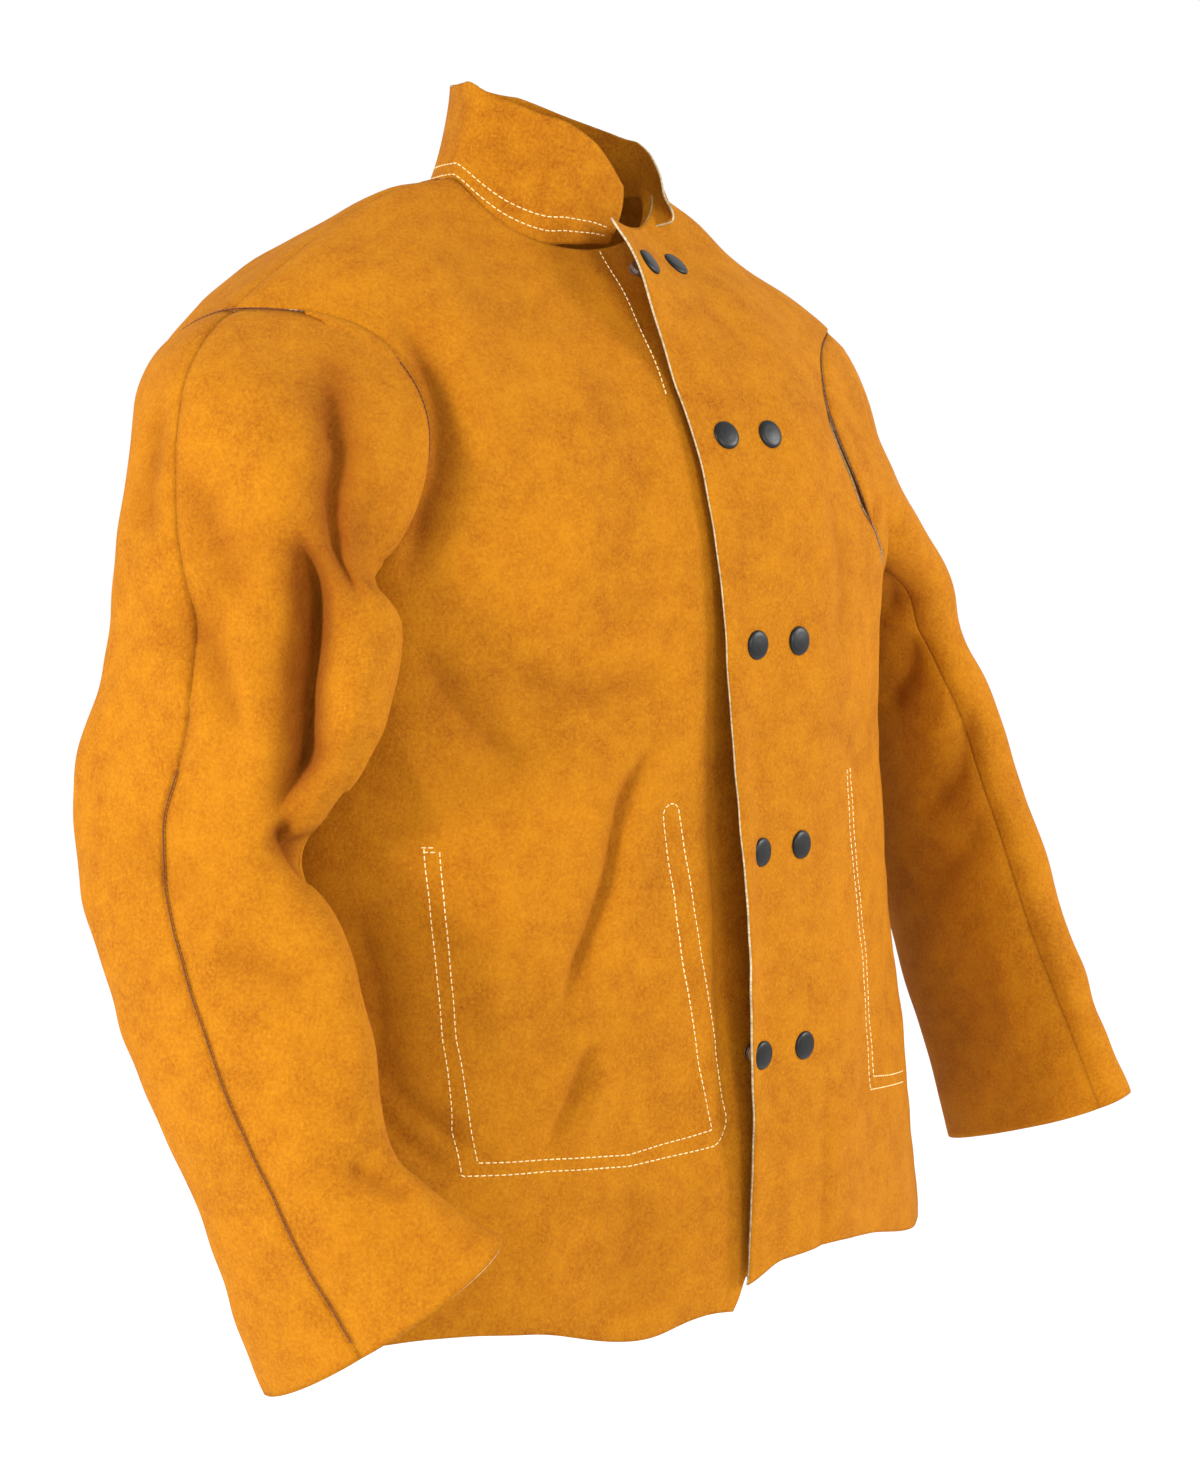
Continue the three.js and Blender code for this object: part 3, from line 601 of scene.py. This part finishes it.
# ---------------------------------------------------------------- body panels
def seam_turn(side, z):
    """The turn of the side seam below the armhole and of the shoulder seam above it."""
    reach = 60
    toward = smooth((z - (armpit_height - reach)) / reach) * (1 - smooth((z - shoulder_height) / reach))
    y = armhole_centre_y * toward - 1e-6
    x = side * half_width(z) * (1 - (np.abs(y) / front_reach(z)) ** section_power) ** (1 / section_power)
    return body_turn(x, y, z)


def armhole_turn(side, z, facing):
    """The turn of the armhole seam at a height, on its front (facing 1) or back (-1) branch."""
    rise = np.clip((z - armhole_height) / armhole_radius, -1, 1)
    angle = np.arcsin(rise)
    if facing < 0:
        angle = np.pi - angle
    p = armhole_curve(side, angle)
    return body_turn(p[:, 0], p[:, 1], p[:, 2])


def body_rows():
    """Heights of the rows: even below and above the armhole, and even round its circle between."""
    low, high = armhole_height - armhole_radius, armhole_height + armhole_radius
    round_count = int(np.pi * armhole_radius / grid_step)
    below = np.linspace(0, low, int(low / grid_step), endpoint=False)
    beside = armhole_height + armhole_radius * np.sin(np.linspace(-np.pi / 2, np.pi / 2, round_count))
    above = np.linspace(high, body_length, int((body_length - high) / grid_step) + 4)[1:]
    return np.r_[below, beside, above]


def edge_turn(side, facing, z):
    """The turn of a panel's outer edge: side seam, armhole seam, then shoulder seam."""
    turn = seam_turn(side, z)
    beside = np.abs(z - armhole_height) < armhole_radius
    return np.where(beside, armhole_turn(side, z, facing), turn)


def unwrap(turn, near):
    """The same turn, moved by whole turns to lie nearest to another."""
    return turn + 2 * np.pi * np.round((near - turn) / (2 * np.pi))


def body_grid(columns, first_edge, last_edge, first_base, last_base, hem):
    """Turns and heights of a panel's grid. Edges and bases are functions of height, and between them
    the turn runs evenly. Each column ends below on the hem and above on the neck opening."""
    rows = body_rows()
    s = np.linspace(0, 1, columns)

    def turn_at(share, z):
        base = mix(first_base(z), last_base(z), share)
        first = (first_edge(z) - first_base(z)) * (1 - share) ** 4
        last = (last_edge(z) - last_base(z)) * share**4
        return base + first + last

    low, high = np.full(columns, armhole_height), np.full(columns, body_length)
    for _ in range(30):
        middle = (low + high) / 2
        p = body_point(turn_at(s, middle), middle)
        reach = np.where(p[:, 1] < 0, neck_front_reach, neck_back_reach)
        outside = (p[:, 0] / neck_half_width) ** 2 + (p[:, 1] / reach) ** 2 > 1
        low, high = np.where(outside, middle, low), np.where(outside, high, middle)
    ease_from = armhole_height + armhole_radius
    above = np.clip((rows - ease_from) / (body_length - ease_from), 0, 1)[:, None]
    z = np.where(rows[:, None] > ease_from, ease_from + above * (low[None] - ease_from), rows[:, None])
    turns = np.stack([turn_at(s, z[i]) for i in range(len(rows))])
    hem_ease = 120
    lift = hem(body_point(turns[0], z[0]))
    z = z + lift[None] * np.clip(1 - rows / hem_ease, 0, 1)[:, None]
    return turns, z


def leather_surface(turns, z, rise, strokes, seed=3):
    """Outer points of body leather: the rounded body, lifted by rise, folds and slow ripples."""
    base = body_point(turns, np.maximum(z, 0))
    base[..., 2] = z
    normal = body_normal(base)
    folds = stroke_field(base, strokes)
    waves = 1.6 * ripple(base, 150, seed) + 0.5 * ripple(base, 45, seed + 1)
    points = base + normal * (rise + folds + waves)[..., None]
    return swing_hem(points), folds


def groove(points, edge, depth=2.0, width=5.0):
    """How deep each point sinks beside a sewn edge, by its distance to that edge's point in its row."""
    distance = np.linalg.norm(points - edge, axis=-1)
    return -depth * np.exp(-((distance / width) ** 2))


def crease_shade_share(folds):
    """Share of the painted crease shade: deep folds hold it, ridges lose it."""
    return np.clip(-folds / 20, 0, 0.6)


def front_hem(points):
    """The hem of the fronts is cut by hand: it sags beside the opening and rises towards the sides."""
    sag = profile([(-312, 0), (-205, 12), (-145, 7), (-55, -13), (0, -8), (34, -12), (300, -12)])
    return sag(points[..., 0])


def left_hem(points):
    """The left front ends higher at the opening than the right, and sags at the side."""
    sag = profile([(0, 4), (30, 9), (65, 20), (110, 21), (170, 12), (262, -8), (312, -6)])
    return sag(points[..., 0])


def right_underlap_hem(points):
    """Under the flap the corner of the right front is cut away in a round."""
    x = points[..., 0]
    step, sweep = 22 * smooth((x - flap_edge - 3) / 5), 95 * smooth((x - flap_edge - 4) / 90)
    return front_hem(points) + sweep + step


def level_hem(points):
    return np.zeros(points.shape[:-1])


def underlap_edge(z):
    """The free edge of the right front, under the flap: straight, then slanting in to the neck."""
    return front_turn(mix(flap_fold + 14, 60, smooth((z - 600) / 150)), z)


def flap_free_edge(z):
    """The free edge of the left front, drawn in a little from the chest to the waist."""
    x = profile([(0, 30), (120, 31), (300, 24), (450, 20), (560, 15), (640, 10), (700, 4), (766, 4)])(z)
    return front_turn(x, z)


def overlap_rise(turns, z):
    """The left front stands off the body where it laps over, easing down past the fold."""
    x = body_point(turns, np.maximum(z, 0))[..., 0]
    lap = 7 * (1 - smooth((x - flap_fold) / 70))
    loose = 12 * np.exp(-(((x - flap_edge) / 15) ** 2)) * np.exp(-(((z - 270) / 150) ** 2))
    open_top = 27 * (1 - np.clip((x - 4) / 72, 0, 1)) ** 1.6 * smooth((z - 620) / 85)
    return lap + loose + open_top


def sunk_under_flap(turns, z):
    """The right front is pressed in a little where the flap lies on it."""
    x = body_point(turns, np.maximum(z, 0))[..., 0]
    return -11 * smooth((x - flap_edge + 20) / 16) * np.exp(-(((z - 280) / 170) ** 2))


def front_side_edge(side):
    return lambda z: unwrap(edge_turn(side, 1, z), np.pi if side < 0 else 0.0)


def side_base(side):
    return lambda z: np.full_like(z, np.pi if side < 0 else 0.0)


turns, heights = body_grid(
    150, underlap_edge, front_side_edge(-1), underlap_edge, side_base(-1), right_underlap_hem
)
points, folds = leather_surface(turns, heights, sunk_under_flap(turns, heights), right_strokes)
points += body_normal(points) * groove(points, points[:, -1:])[..., None]
right_front = grid_piece("right_front", points[:, ::-1], [suede, edge_of_hide], crease_shade_share(folds)[:, ::-1])
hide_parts("right_front_panel")
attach(right_front, "body")
right_front_points = points

turns, heights = body_grid(130, front_side_edge(1), flap_free_edge, side_base(1), flap_free_edge, left_hem)
points, folds = leather_surface(turns, heights, overlap_rise(turns, heights), left_strokes)
points += body_normal(points) * groove(points, points[:, :1])[..., None]
left_front = grid_piece("left_front", points[:, ::-1], [suede, edge_of_hide], crease_shade_share(folds)[:, ::-1])
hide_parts("left_front_panel", "left_front_flap")
left_front_points = points
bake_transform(left_front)


def back_edge(side):
    near = np.pi if side < 0 else 2 * np.pi
    return lambda z: unwrap(edge_turn(side, -1, z), near)


def back_base(side):
    return lambda z: np.full_like(z, np.pi if side < 0 else 2 * np.pi)


turns, heights = body_grid(190, back_edge(-1), back_edge(1), back_base(-1), back_base(1), level_hem)
points, folds = leather_surface(turns, heights, 0, [])
sink = groove(points, points[:, :1]) + groove(points, points[:, -1:])
points += body_normal(points) * sink[..., None]
back = grid_piece("back", points[:, ::-1], [suede, edge_of_hide], crease_shade_share(folds)[:, ::-1])
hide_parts("back_panel")
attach(back, "body")


# ---------------------------------------------------------------- sleeves
def arm_station(share, centre, fore, outer, front, rear, out, inside):
    """One section of a sleeve: its share of the length, place, directions and four reaches."""
    return share, [*centre, *fore, *outer, front, rear, out, inside]


def sleeve_stations(side):
    _, forward, centre = armhole_axes(side)
    first = arm_station(0, centre, forward, (0, 0, 1), 102, 102, 102, 102)
    if side < 0:
        return [
            first,
            arm_station(0.07, (-277, -34, 553), (0.36, -0.93, 0), (-0.39, -0.15, 0.91), 110, 72, 82, 92),
            arm_station(0.14, (-291, -46, 518), (0.42, -0.91, 0), (-0.69, -0.32, 0.64), 112, 70, 60, 66),
            arm_station(0.22, (-286, -54, 483), (0.50, -0.87, 0), (-0.85, -0.45, 0.25), 114, 84, 50, 40),
            arm_station(0.31, (-294, -68, 440), (0.47, -0.88, 0), (-0.89, -0.45, 0), 106, 94, 46, 30),
            arm_station(0.40, (-302, -62, 395), (0.46, -0.88, 0), (-0.88, -0.46, 0), 98, 100, 44, 30),
            arm_station(0.46, (-312, -55, 358), (0.46, -0.88, 0.1), (-0.88, -0.46, 0), 88, 92, 42, 36),
            arm_station(0.51, (-320, -66, 325), (0.46, -0.88, 0.15), (-0.88, -0.46, 0), 72, 86, 40, 36),
            arm_station(0.60, (-318, -86, 275), (0.46, -0.87, 0.2), (-0.88, -0.46, 0), 82, 84, 38, 38),
            arm_station(0.74, (-314, -122, 205), (0.45, -0.84, 0.3), (-0.88, -0.47, 0.05), 76, 80, 36, 34),
            arm_station(0.87, (-300, -160, 138), (0.45, -0.80, 0.35), (-0.86, -0.48, -0.1), 58, 80, 38, 32),
            arm_station(0.94, (-288, -178, 98), (0.47, -0.74, 0.46), (-0.82, -0.48, -0.25), 74, 86, 40, 32),
            arm_station(1.0, (-276, -196, 62), (0.476, -0.677, 0.56), (-0.76, -0.46, -0.38), 96, 92, 42, 32),
        ]
    return [
        first,
        arm_station(0.07, (266, -26, 552), (-0.34, -0.94, 0), (0.39, -0.13, 0.91), 84, 92, 52, 88),
        arm_station(0.14, (283, -20, 514), (-0.28, -0.96, 0), (0.72, -0.2, 0.64), 86, 90, 46, 58),
        arm_station(0.22, (308, -8, 480), (-0.15, -0.99, 0), (0.96, -0.15, 0.25), 88, 88, 42, 40),
        arm_station(0.31, (324, 2, 440), (-0.08, -1, 0), (1, -0.08, 0), 90, 88, 40, 38),
        arm_station(0.40, (340, -8, 390), (0, -1, 0), (1, 0, 0), 94, 88, 42, 40),
        arm_station(0.50, (352, -26, 335), (0, -1, 0.05), (1, 0, 0), 88, 84, 40, 40),
        arm_station(0.60, (360, -46, 280), (0, -1, 0.1), (1, 0, 0.1), 86, 82, 38, 38),
        arm_station(0.74, (370, -72, 205), (0, -0.99, 0.14), (1, 0, 0.14), 84, 84, 36, 36),
        arm_station(0.87, (380, -98, 132), (0, -0.96, 0.24), (1, 0, 0.2), 86, 88, 34, 34),
        arm_station(1.0, (390, -122, 60), (0, -0.94, 0.34), (0.97, 0, 0.25), 92, 92, 34, 34),
    ]


sleeve_power = 2.2
seam_front, seam_back = math.radians(-28), math.radians(92)


def sleeve_surface(side, shares, turns):
    """Points of a sleeve: rounded sections with four reaches, along a smooth path from the armhole.
    The first section is the armhole seam itself, and its shape eases out along the cap."""
    stations = sleeve_stations(side)
    keys = path_through([s[0] for s in stations], [s[1] for s in stations], shares)
    centre, fore, outer = keys[:, 0:3], unit(keys[:, 3:6]), keys[:, 6:9]
    outer = unit(outer - fore * (outer * fore).sum(1, keepdims=True))
    front, rear, out, inside = keys[:, 9:].T
    c, s = np.cos(turns), np.sin(turns)
    power = mix(2.0, sleeve_power, smooth(shares / 0.25))[:, None]
    along_fore = np.where(c > 0, front[:, None], rear[:, None]) * np.sign(c) * np.abs(c) ** (2 / power)
    along_out = np.where(s > 0, out[:, None], inside[:, None]) * np.sign(s) * np.abs(s) ** (2 / power)
    points = centre[:, None] + fore[:, None] * along_fore[..., None] + outer[:, None] * along_out[..., None]
    seam = armhole_curve(side, turns)
    ease = 1 - smooth(shares / 0.12)
    return points + (seam - points[0])[None] * ease[:, None, None] if shares[0] == 0 else points


def sleeve_normals(points):
    """Outward unit normals of a sleeve's grid, from its own differences."""
    normal = unit(np.cross(np.gradient(points, axis=1), np.gradient(points, axis=0)))
    outward = ((points - points.mean(axis=1, keepdims=True)) * normal).sum()
    return normal if outward > 0 else -normal


def sleeve_line(side, places):
    """Points on the plain sleeve at (share, degrees) places."""
    return np.array([sleeve_surface(side, np.array([0.0, t]), np.radians([a]))[1, 0] for t, a in places])


def ride_sleeve(piece):
    """Bakes a sleeve piece's placing into its mesh."""
    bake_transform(piece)


sleeve_seams = {"right": [], "left": []}
armhole_seams = []
for side, word in ((-1, "right"), (1, "left")):
    shares = np.linspace(0, 1, 170)
    count = 132
    around = np.linspace(seam_front, seam_front + 2 * np.pi, count + 1)
    surface = sleeve_surface(side, shares, around)
    normals = sleeve_normals(surface)
    normals[:, -1] = normals[:, 0] = unit(normals[:, 0] + normals[:, -1])
    laid = [
        (sleeve_line(side, bend_through(places)), depth, width)
        for places, depth, width in sleeve_folds[word]
    ]
    folds = stroke_field(surface, laid)
    swell = 2.6 * smooth(shares / 0.012) - 1.2
    waves = 1.4 * ripple(surface, 120, 11) + 0.5 * ripple(surface, 40, 12)
    ease = smooth(shares / 0.08)
    surface = surface + normals * (swell[:, None] + (folds + waves) * ease[:, None])[..., None]
    split = int(round(count * (seam_back - seam_front) / (2 * np.pi)))
    for part, low, high in (("top", 0, split), ("under", split, count)):
        strip = surface[:, low:high + 1]
        sink = groove(strip, strip[:, :1]) + groove(strip, strip[:, -1:])
        strip = strip + normals[:, low:high + 1] * sink[..., None]
        ordered = strip if side < 0 else strip[:, ::-1]
        # Painted shade for the creases of this sleeve piece.
        marks = crease_shade_share(folds[:, low:high + 1])
        marks = marks if side < 0 else marks[:, ::-1]
        piece = grid_piece(f"{word}_sleeve_{part}_piece", ordered, [suede, edge_of_hide], marks)
        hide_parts(f"{word}_sleeve_{part}")
        ride_sleeve(piece)
    outward = to_frame(surface + normals) - to_frame(surface)
    placed = to_frame(surface)
    below_elbow = int(0.4 * len(shares))
    sleeve_seams[word].append((placed[below_elbow:-2, split], unit(outward[below_elbow:-2, split])))
    armhole_seams.append((placed[0], unit(outward[0])))

# ---------------------------------------------------------------- collar
def neck_edge(turn):
    """The edge of the neck opening: an oval on plan, at the height where it meets the body."""
    x = neck_half_width * np.cos(turn)
    y = -np.where(np.sin(turn) > 0, neck_front_reach, neck_back_reach) * np.sin(turn)
    low, high = np.full_like(turn, armhole_height), np.full_like(turn, body_length)
    for _ in range(36):
        middle = (low + high) / 2
        inside = body_level(x, y, middle) < 1
        low, high = np.where(inside, middle, low), np.where(inside, high, middle)
    return np.stack([x, y, low], -1)


# Shares run from the corner on the right front, round the back, to the corner on the left front.
collar_turns = np.radians(np.linspace(72 - 360, 46, 190))
collar_share = np.linspace(0, 1, len(collar_turns))
collar_rows = np.linspace(0, 1, 30)
collar_height = profile([
    (0, 40), (0.02, 56), (0.05, 73), (0.1, 84), (0.15, 84), (0.2, 79), (0.26, 71), (0.32, 66), (0.4, 66),
    (0.48, 70), (0.56, 73), (0.65, 66), (0.75, 51), (0.81, 42), (0.86, 35), (0.9, 33), (0.95, 35),
    (0.98, 33), (1, 26),
])(collar_share)
collar_foot = profile([(0, 1), (0.04, 3), (0.08, 2), (0.12, -2), (0.2, -4), (0.5, -5), (1, -4)])(collar_share)
collar_lean = profile([
    (0, -9), (0.08, -5), (0.22, 8), (0.38, 18), (0.5, 14), (0.8, 8), (0.92, 1), (1, -8),
])(collar_share)
corner_flare = profile([(0, 0), (0.86, 0), (0.95, 9), (1, 22)])(collar_share)
foot = neck_edge(collar_turns)
inward = unit(np.stack([-foot[:, 0], -foot[:, 1], 0 * foot[:, 0]], -1))
rows = collar_rows[:, None]
lean = collar_lean * np.sin(rows * np.pi / 2)
flare = corner_flare * smooth(rows / 0.3) * (1 - 0.5 * smooth((rows - 0.35) / 0.65))
points = (
    foot[None] + inward[None] * (1.0 + lean - flare)[..., None]
    + np.array([0, 0, 1.0]) * (collar_foot + rows * (collar_height - collar_foot))[..., None]
)
points += inward[None] * (0.5 * ripple(points, 60, 21))[..., None]
collar_points = points
stand_collar = grid_piece("stand_collar", points[:, ::-1], [collar_suede_painted_shade, edge_of_hide])
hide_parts("collar")
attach(stand_collar, "body")


# ---------------------------------------------------------------- pocket bags inside the fronts
def pocket_bag(name, word, low_corners, high_corners, strokes, front_rise):
    """A bag of split sewn inside a front, between two legs that lean: it follows the front's own
    folds and stands off a little in its middle. Corners are (rear x, front x, height)."""
    across, along = np.linspace(0, 1, 60), np.linspace(0, 1, 66)[:, None]
    rear = mix(low_corners[0], high_corners[0], along)
    fore = mix(low_corners[1], high_corners[1], along)
    x, z = mix(rear, fore, across), mix(low_corners[2], high_corners[2], along) + 0 * across
    turns = front_turn(x, z)
    bulge = 5 * np.sin(np.pi * across) * np.sin(np.pi * along)
    gap = 1.4  # between the front's inner face and the bag
    points, _ = leather_surface(turns, z, front_rise(turns, z) - (leather + gap) - bulge, strokes)
    ordered = points if word.startswith("right") else points[:, ::-1]
    bag = grid_piece(name, ordered, [suede, edge_of_hide])
    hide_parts(word)
    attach(bag, "body")
    return bag, points


right_bag, right_bag_points = pocket_bag(
    "right_inside_pocket", "right_pocket_bag", (-180, 24, 110), (-196, -26, 345),
    right_strokes, sunk_under_flap,
)
left_bag, left_bag_points = pocket_bag(
    "left_inside_pocket", "left_pocket_bag", (262, 180, 112), (250, 155, 356), left_strokes, overlap_rise
)


# ---------------------------------------------------------------- stitches
def surface_tree(points):
    """A search tree over a grid of outer points, in the frame."""
    placed = to_frame(points)
    faces = grid_faces(*placed.shape[:2])
    return BVHTree.FromPolygons(placed.reshape(-1, 3).tolist(), faces.tolist())


def press_on(tree, x, z):
    """Where a line along Y at (x, height) meets a front, and the outward direction there."""
    places, normals = [], []
    for px, pz in zip(x, z):
        hit, normal, _, _ = tree.ray_cast(Vector((px / MM, -1, (pz - body_length) / MM)), Vector((0, 1, 0)))
        if hit is not None:
            places.append(hit)
            normals.append(normal if normal.y < 0 else -normal)
    return np.array(places), np.array(normals)


def sew(rows_of_places, pitch, length, radius, sink):
    """Stitches along lines of places and normals: each is a short six-sided capsule, evenly pitched,
    lying along its line with its ends turned down into the leather."""
    sides = 6
    ring = np.linspace(0, 2 * np.pi, sides, endpoint=False)[None, :, None]
    stations = [
        (-0.5, 0.35, -0.9), (-0.36, 1.0, -0.1), (0.0, 1.0, 0.15), (0.36, 1.0, -0.1), (0.5, 0.35, -0.9),
    ]
    vertices, faces = [], []
    for places, normals in rows_of_places:
        run = np.r_[0, np.cumsum(np.linalg.norm(np.diff(places, axis=0), axis=1))]
        count = int(run[-1] / pitch)
        at = (np.arange(count) + 0.5) * pitch
        middle = np.stack([np.interp(at, run, places[:, k]) for k in range(3)], -1)
        ahead = np.stack([np.interp(at + 1e-3, run, places[:, k]) for k in range(3)], -1)
        behind = np.stack([np.interp(at - 1e-3, run, places[:, k]) for k in range(3)], -1)
        normal = unit(np.stack([np.interp(at, run, normals[:, k]) for k in range(3)], -1))
        along = unit(ahead - behind)
        across = unit(np.cross(along, normal))
        for share, fat, lift in stations:
            centre = middle + along * share * length + normal * (lift * radius + sink)
            spread = np.cos(ring) * across[:, None] + np.sin(ring) * normal[:, None]
            vertices.append((count, centre[:, None] + spread * fat * radius))
    out, base = [], 0
    for block in range(0, len(vertices), len(stations)):
        count = vertices[block][0]
        grid = np.stack([v for _, v in vertices[block:block + len(stations)]], 1)
        out.append(grid.reshape(-1, 3))
        for i in range(count):
            start = base + i * len(stations) * sides
            for j in range(len(stations) - 1):
                for k in range(sides):
                    a, b = start + j * sides + k, start + j * sides + (k + 1) % sides
                    faces.append([a, a + sides, b + sides, b])
            faces.append([start + k for k in range(sides)])
            last = start + (len(stations) - 1) * sides
            faces.append([last + k for k in reversed(range(sides))])
        base += count * len(stations) * sides
    return np.vstack(out), faces


def thread_piece(name, lines, material, pitch=4.6, length=3.6, radius=0.42, sink=0.05):
    """One piece of all the stitches along some lines. Sizes are millimetres."""
    placed, faces = sew(lines, pitch / MM, length / MM, radius / MM, sink / MM)
    piece = add_piece(name, placed.tolist(), faces, [material])
    return piece


def front_row(tree, *corners):
    """A row along straight legs between (x, height) corners."""
    line = np.array(corners, float)
    run = np.r_[0, np.cumsum(np.linalg.norm(np.diff(line, axis=0), axis=1))]
    at = np.arange(0, run[-1], 2.0)
    return press_on(tree, np.interp(at, run, line[:, 0]), np.interp(at, run, line[:, 1]))


def arc(centre, radius, start, end, count=9):
    """Corners of a round, by angle in degrees from the wearer's left towards up."""
    angle = np.radians(np.linspace(start, end, count))
    return [(centre[0] + radius * math.cos(a), centre[1] + radius * math.sin(a)) for a in angle]


row_gap = 7.0
right_tree, left_tree = surface_tree(right_front_points), surface_tree(left_front_points)
right_rows = [
    front_row(
        right_tree, (-195, 336), (-188, 210), (-178, 120), (-115, 116), (-58, 110),
        *arc((10, 130), 18, -80, 0), (0, 250), *arc((-24, 346), row_gap, 0, 180),
        (-18, 250), (12, 124), (-58, 118), (-115, 124), (-168, 128), (-180, 210), (-187, 336),
    ),
    # The bar tack across the top of the rear leg.
    front_row(right_tree, (-197, 336), (-186, 336)),
    front_row(right_tree, (-196, 333), (-186, 333)),
    front_row(right_tree, (14, 724), (11, 690), (8, 655), (6, 618)),
]
left_rows = [
    front_row(left_tree, (155, 358), (166, 270), (176, 185), (181, 120), (215, 114), (250, 108)),
    front_row(left_tree, (162, 358), (173, 270), (183, 185), (188, 128), (215, 122), (250, 116)),
]
front_stitching = thread_piece("front_stitching", right_rows + left_rows, cream_thread)
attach(front_stitching, "body")


def collar_row(share_up, first, last):
    """A row round the collar at a share of its height."""
    at = share_up * (len(collar_rows) - 1)
    low = int(at)
    line = mix(collar_points[low], collar_points[low + 1], at - low)[first:last]
    outward = -inward[first:last]
    return to_frame(line), outward


collar_lines = [collar_row(0.11, 3, 186), collar_row(0.22, 3, 186)]
collar_stitching = thread_piece("collar_stitching", collar_lines, cream_thread)
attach(collar_stitching, "body")

for side, word in ((-1, "right"), (1, "left")):
    seam = thread_piece(
        f"{word}_sleeve_seam", sleeve_seams[word], brown_thread,
        pitch=3.6, length=3.4, radius=0.5, sink=-0.15,
    )
    ride_sleeve(seam)
armhole_thread = thread_piece(
    "armhole_seams", armhole_seams, brown_thread, pitch=3.6, length=3.3, radius=0.4, sink=0.3
)
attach(armhole_thread, "body")


# ---------------------------------------------------------------- snap caps
def turned(profile_points, centre, axis, sides=40):
    """A turned solid from (radius, height) stations, closed at both ends on its axis."""
    side_way = unit(np.cross(axis, np.array([0.3, 0.1, 1.0])))
    other = np.cross(axis, side_way)
    angle = np.linspace(0, 2 * np.pi, sides, endpoint=False)
    rings = np.array(profile_points) / MM
    spread = np.cos(angle)[:, None] * side_way + np.sin(angle)[:, None] * other
    return centre + rings[:, 0, None, None] * spread[None] + rings[:, 1, None, None] * axis


cap_profile = [
    (3, -1.2), (8.6, -0.9), (9.7, -0.5), (10.0, 0.1), (10.0, 0.7), (9.7, 1.3), (9.0, 1.8), (7.8, 2.2),
    (6.4, 2.45), (5.2, 2.5), (4.0, 2.62), (2.4, 2.75), (1.0, 2.8),
]
vertices, faces, cap_names = [], [], sorted(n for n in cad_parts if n.startswith("snap_cap"))
for name in cap_names:
    low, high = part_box(name)
    middle = (low + high) / 2
    level = middle.z * MM + body_length
    nearer = top_row_slide * smooth((level - top_row_height) / 40)
    places, normals = press_on(left_tree, [middle.x * MM - nearer], [level])
    rings = turned(cap_profile, places[0], normals[0])
    base, sides = len(vertices), rings.shape[1]
    vertices.extend(rings.reshape(-1, 3).tolist())
    for j in range(len(rings) - 1):
        for k in range(sides):
            a, b = base + j * sides + k, base + j * sides + (k + 1) % sides
            faces.append([a, b, b + sides, a + sides])
    faces.append([base + k for k in reversed(range(sides))])
    faces.append([base + (len(rings) - 1) * sides + k for k in range(sides)])
snap_caps = add_piece("snap_caps", vertices, faces, [cap_enamel])
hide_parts(*cap_names)
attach(snap_caps, "front_flap")

# ---------------------------------------------------------------- CAD pieces that stay
for name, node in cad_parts.items():
    if name.startswith("snap_") and name not in cap_names:
        node.data.materials.clear()
        node.data.materials.append(snap_steel)

# ---------------------------------------------------------------- floor, light and camera
floor_mesh = bpy.data.meshes.new("floor")
half = 12.0
drop = -(body_length / MM) - 0.9  # the floor lies well under the hem
floor_corners = [(-half, -half, drop), (half, -half, drop), (half, half, drop), (-half, half, drop)]
floor_mesh.from_pydata(floor_corners, [], [(0, 1, 2, 3)])
floor = bpy.data.objects.new("floor", floor_mesh)
bpy.context.scene.collection.objects.link(floor)
floor_material, _, floor_shader = new_material("white_paper")
floor_shader.inputs["Base Color"].default_value = linear("#FFFFFF")
floor_shader.inputs["Roughness"].default_value = 0.9
floor_mesh.materials.append(floor_material)
floor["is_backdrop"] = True

world = bpy.data.worlds.new("studio")
world.use_nodes = True
world.node_tree.nodes["Background"].inputs["Color"].default_value = (1, 1, 1, 1)
world.node_tree.nodes["Background"].inputs["Strength"].default_value = 1.0
bpy.context.scene.world = world


def soft_light(name, place, size, power, colour="#FFFFFF"):
    """A square studio lamp that faces the chest."""
    light = bpy.data.lights.new(name, "AREA")
    light.size = size
    light.energy = power
    light.color = linear(colour)[:3]
    lamp = bpy.data.objects.new(name, light)
    lamp.location = place
    target = Vector((0, 0, -0.35))
    lamp.rotation_mode = "QUATERNION"
    lamp.rotation_quaternion = (target - Vector(place)).to_track_quat("-Z", "Y")
    bpy.context.scene.collection.objects.link(lamp)


soft_light("key", (-2.8, -0.2, 0.2), 0.5, 78)
soft_light("fill", (2.1, -1.7, 0.5), 0.8, 48)
soft_light("front", (0.1, -2.7, 0.3), 0.8, 26)

azimuth = math.radians(-37)
camera_distance, camera_height = 1.957, -0.126
look_down, look_aside = math.radians(7.7), math.radians(1.144)
camera = bpy.data.cameras.new("camera")
camera.lens = 67.0
camera.clip_start, camera.clip_end = 0.05, 60
view = bpy.data.objects.new("camera", camera)
view.location = (math.sin(azimuth) * camera_distance, -math.cos(azimuth) * camera_distance, camera_height)
view.rotation_euler = (math.pi / 2 - look_down, 0, azimuth - look_aside)
bpy.context.scene.collection.objects.link(view)
bpy.context.scene.camera = view
bpy.context.scene.view_settings.view_transform = "Standard"

low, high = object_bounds()
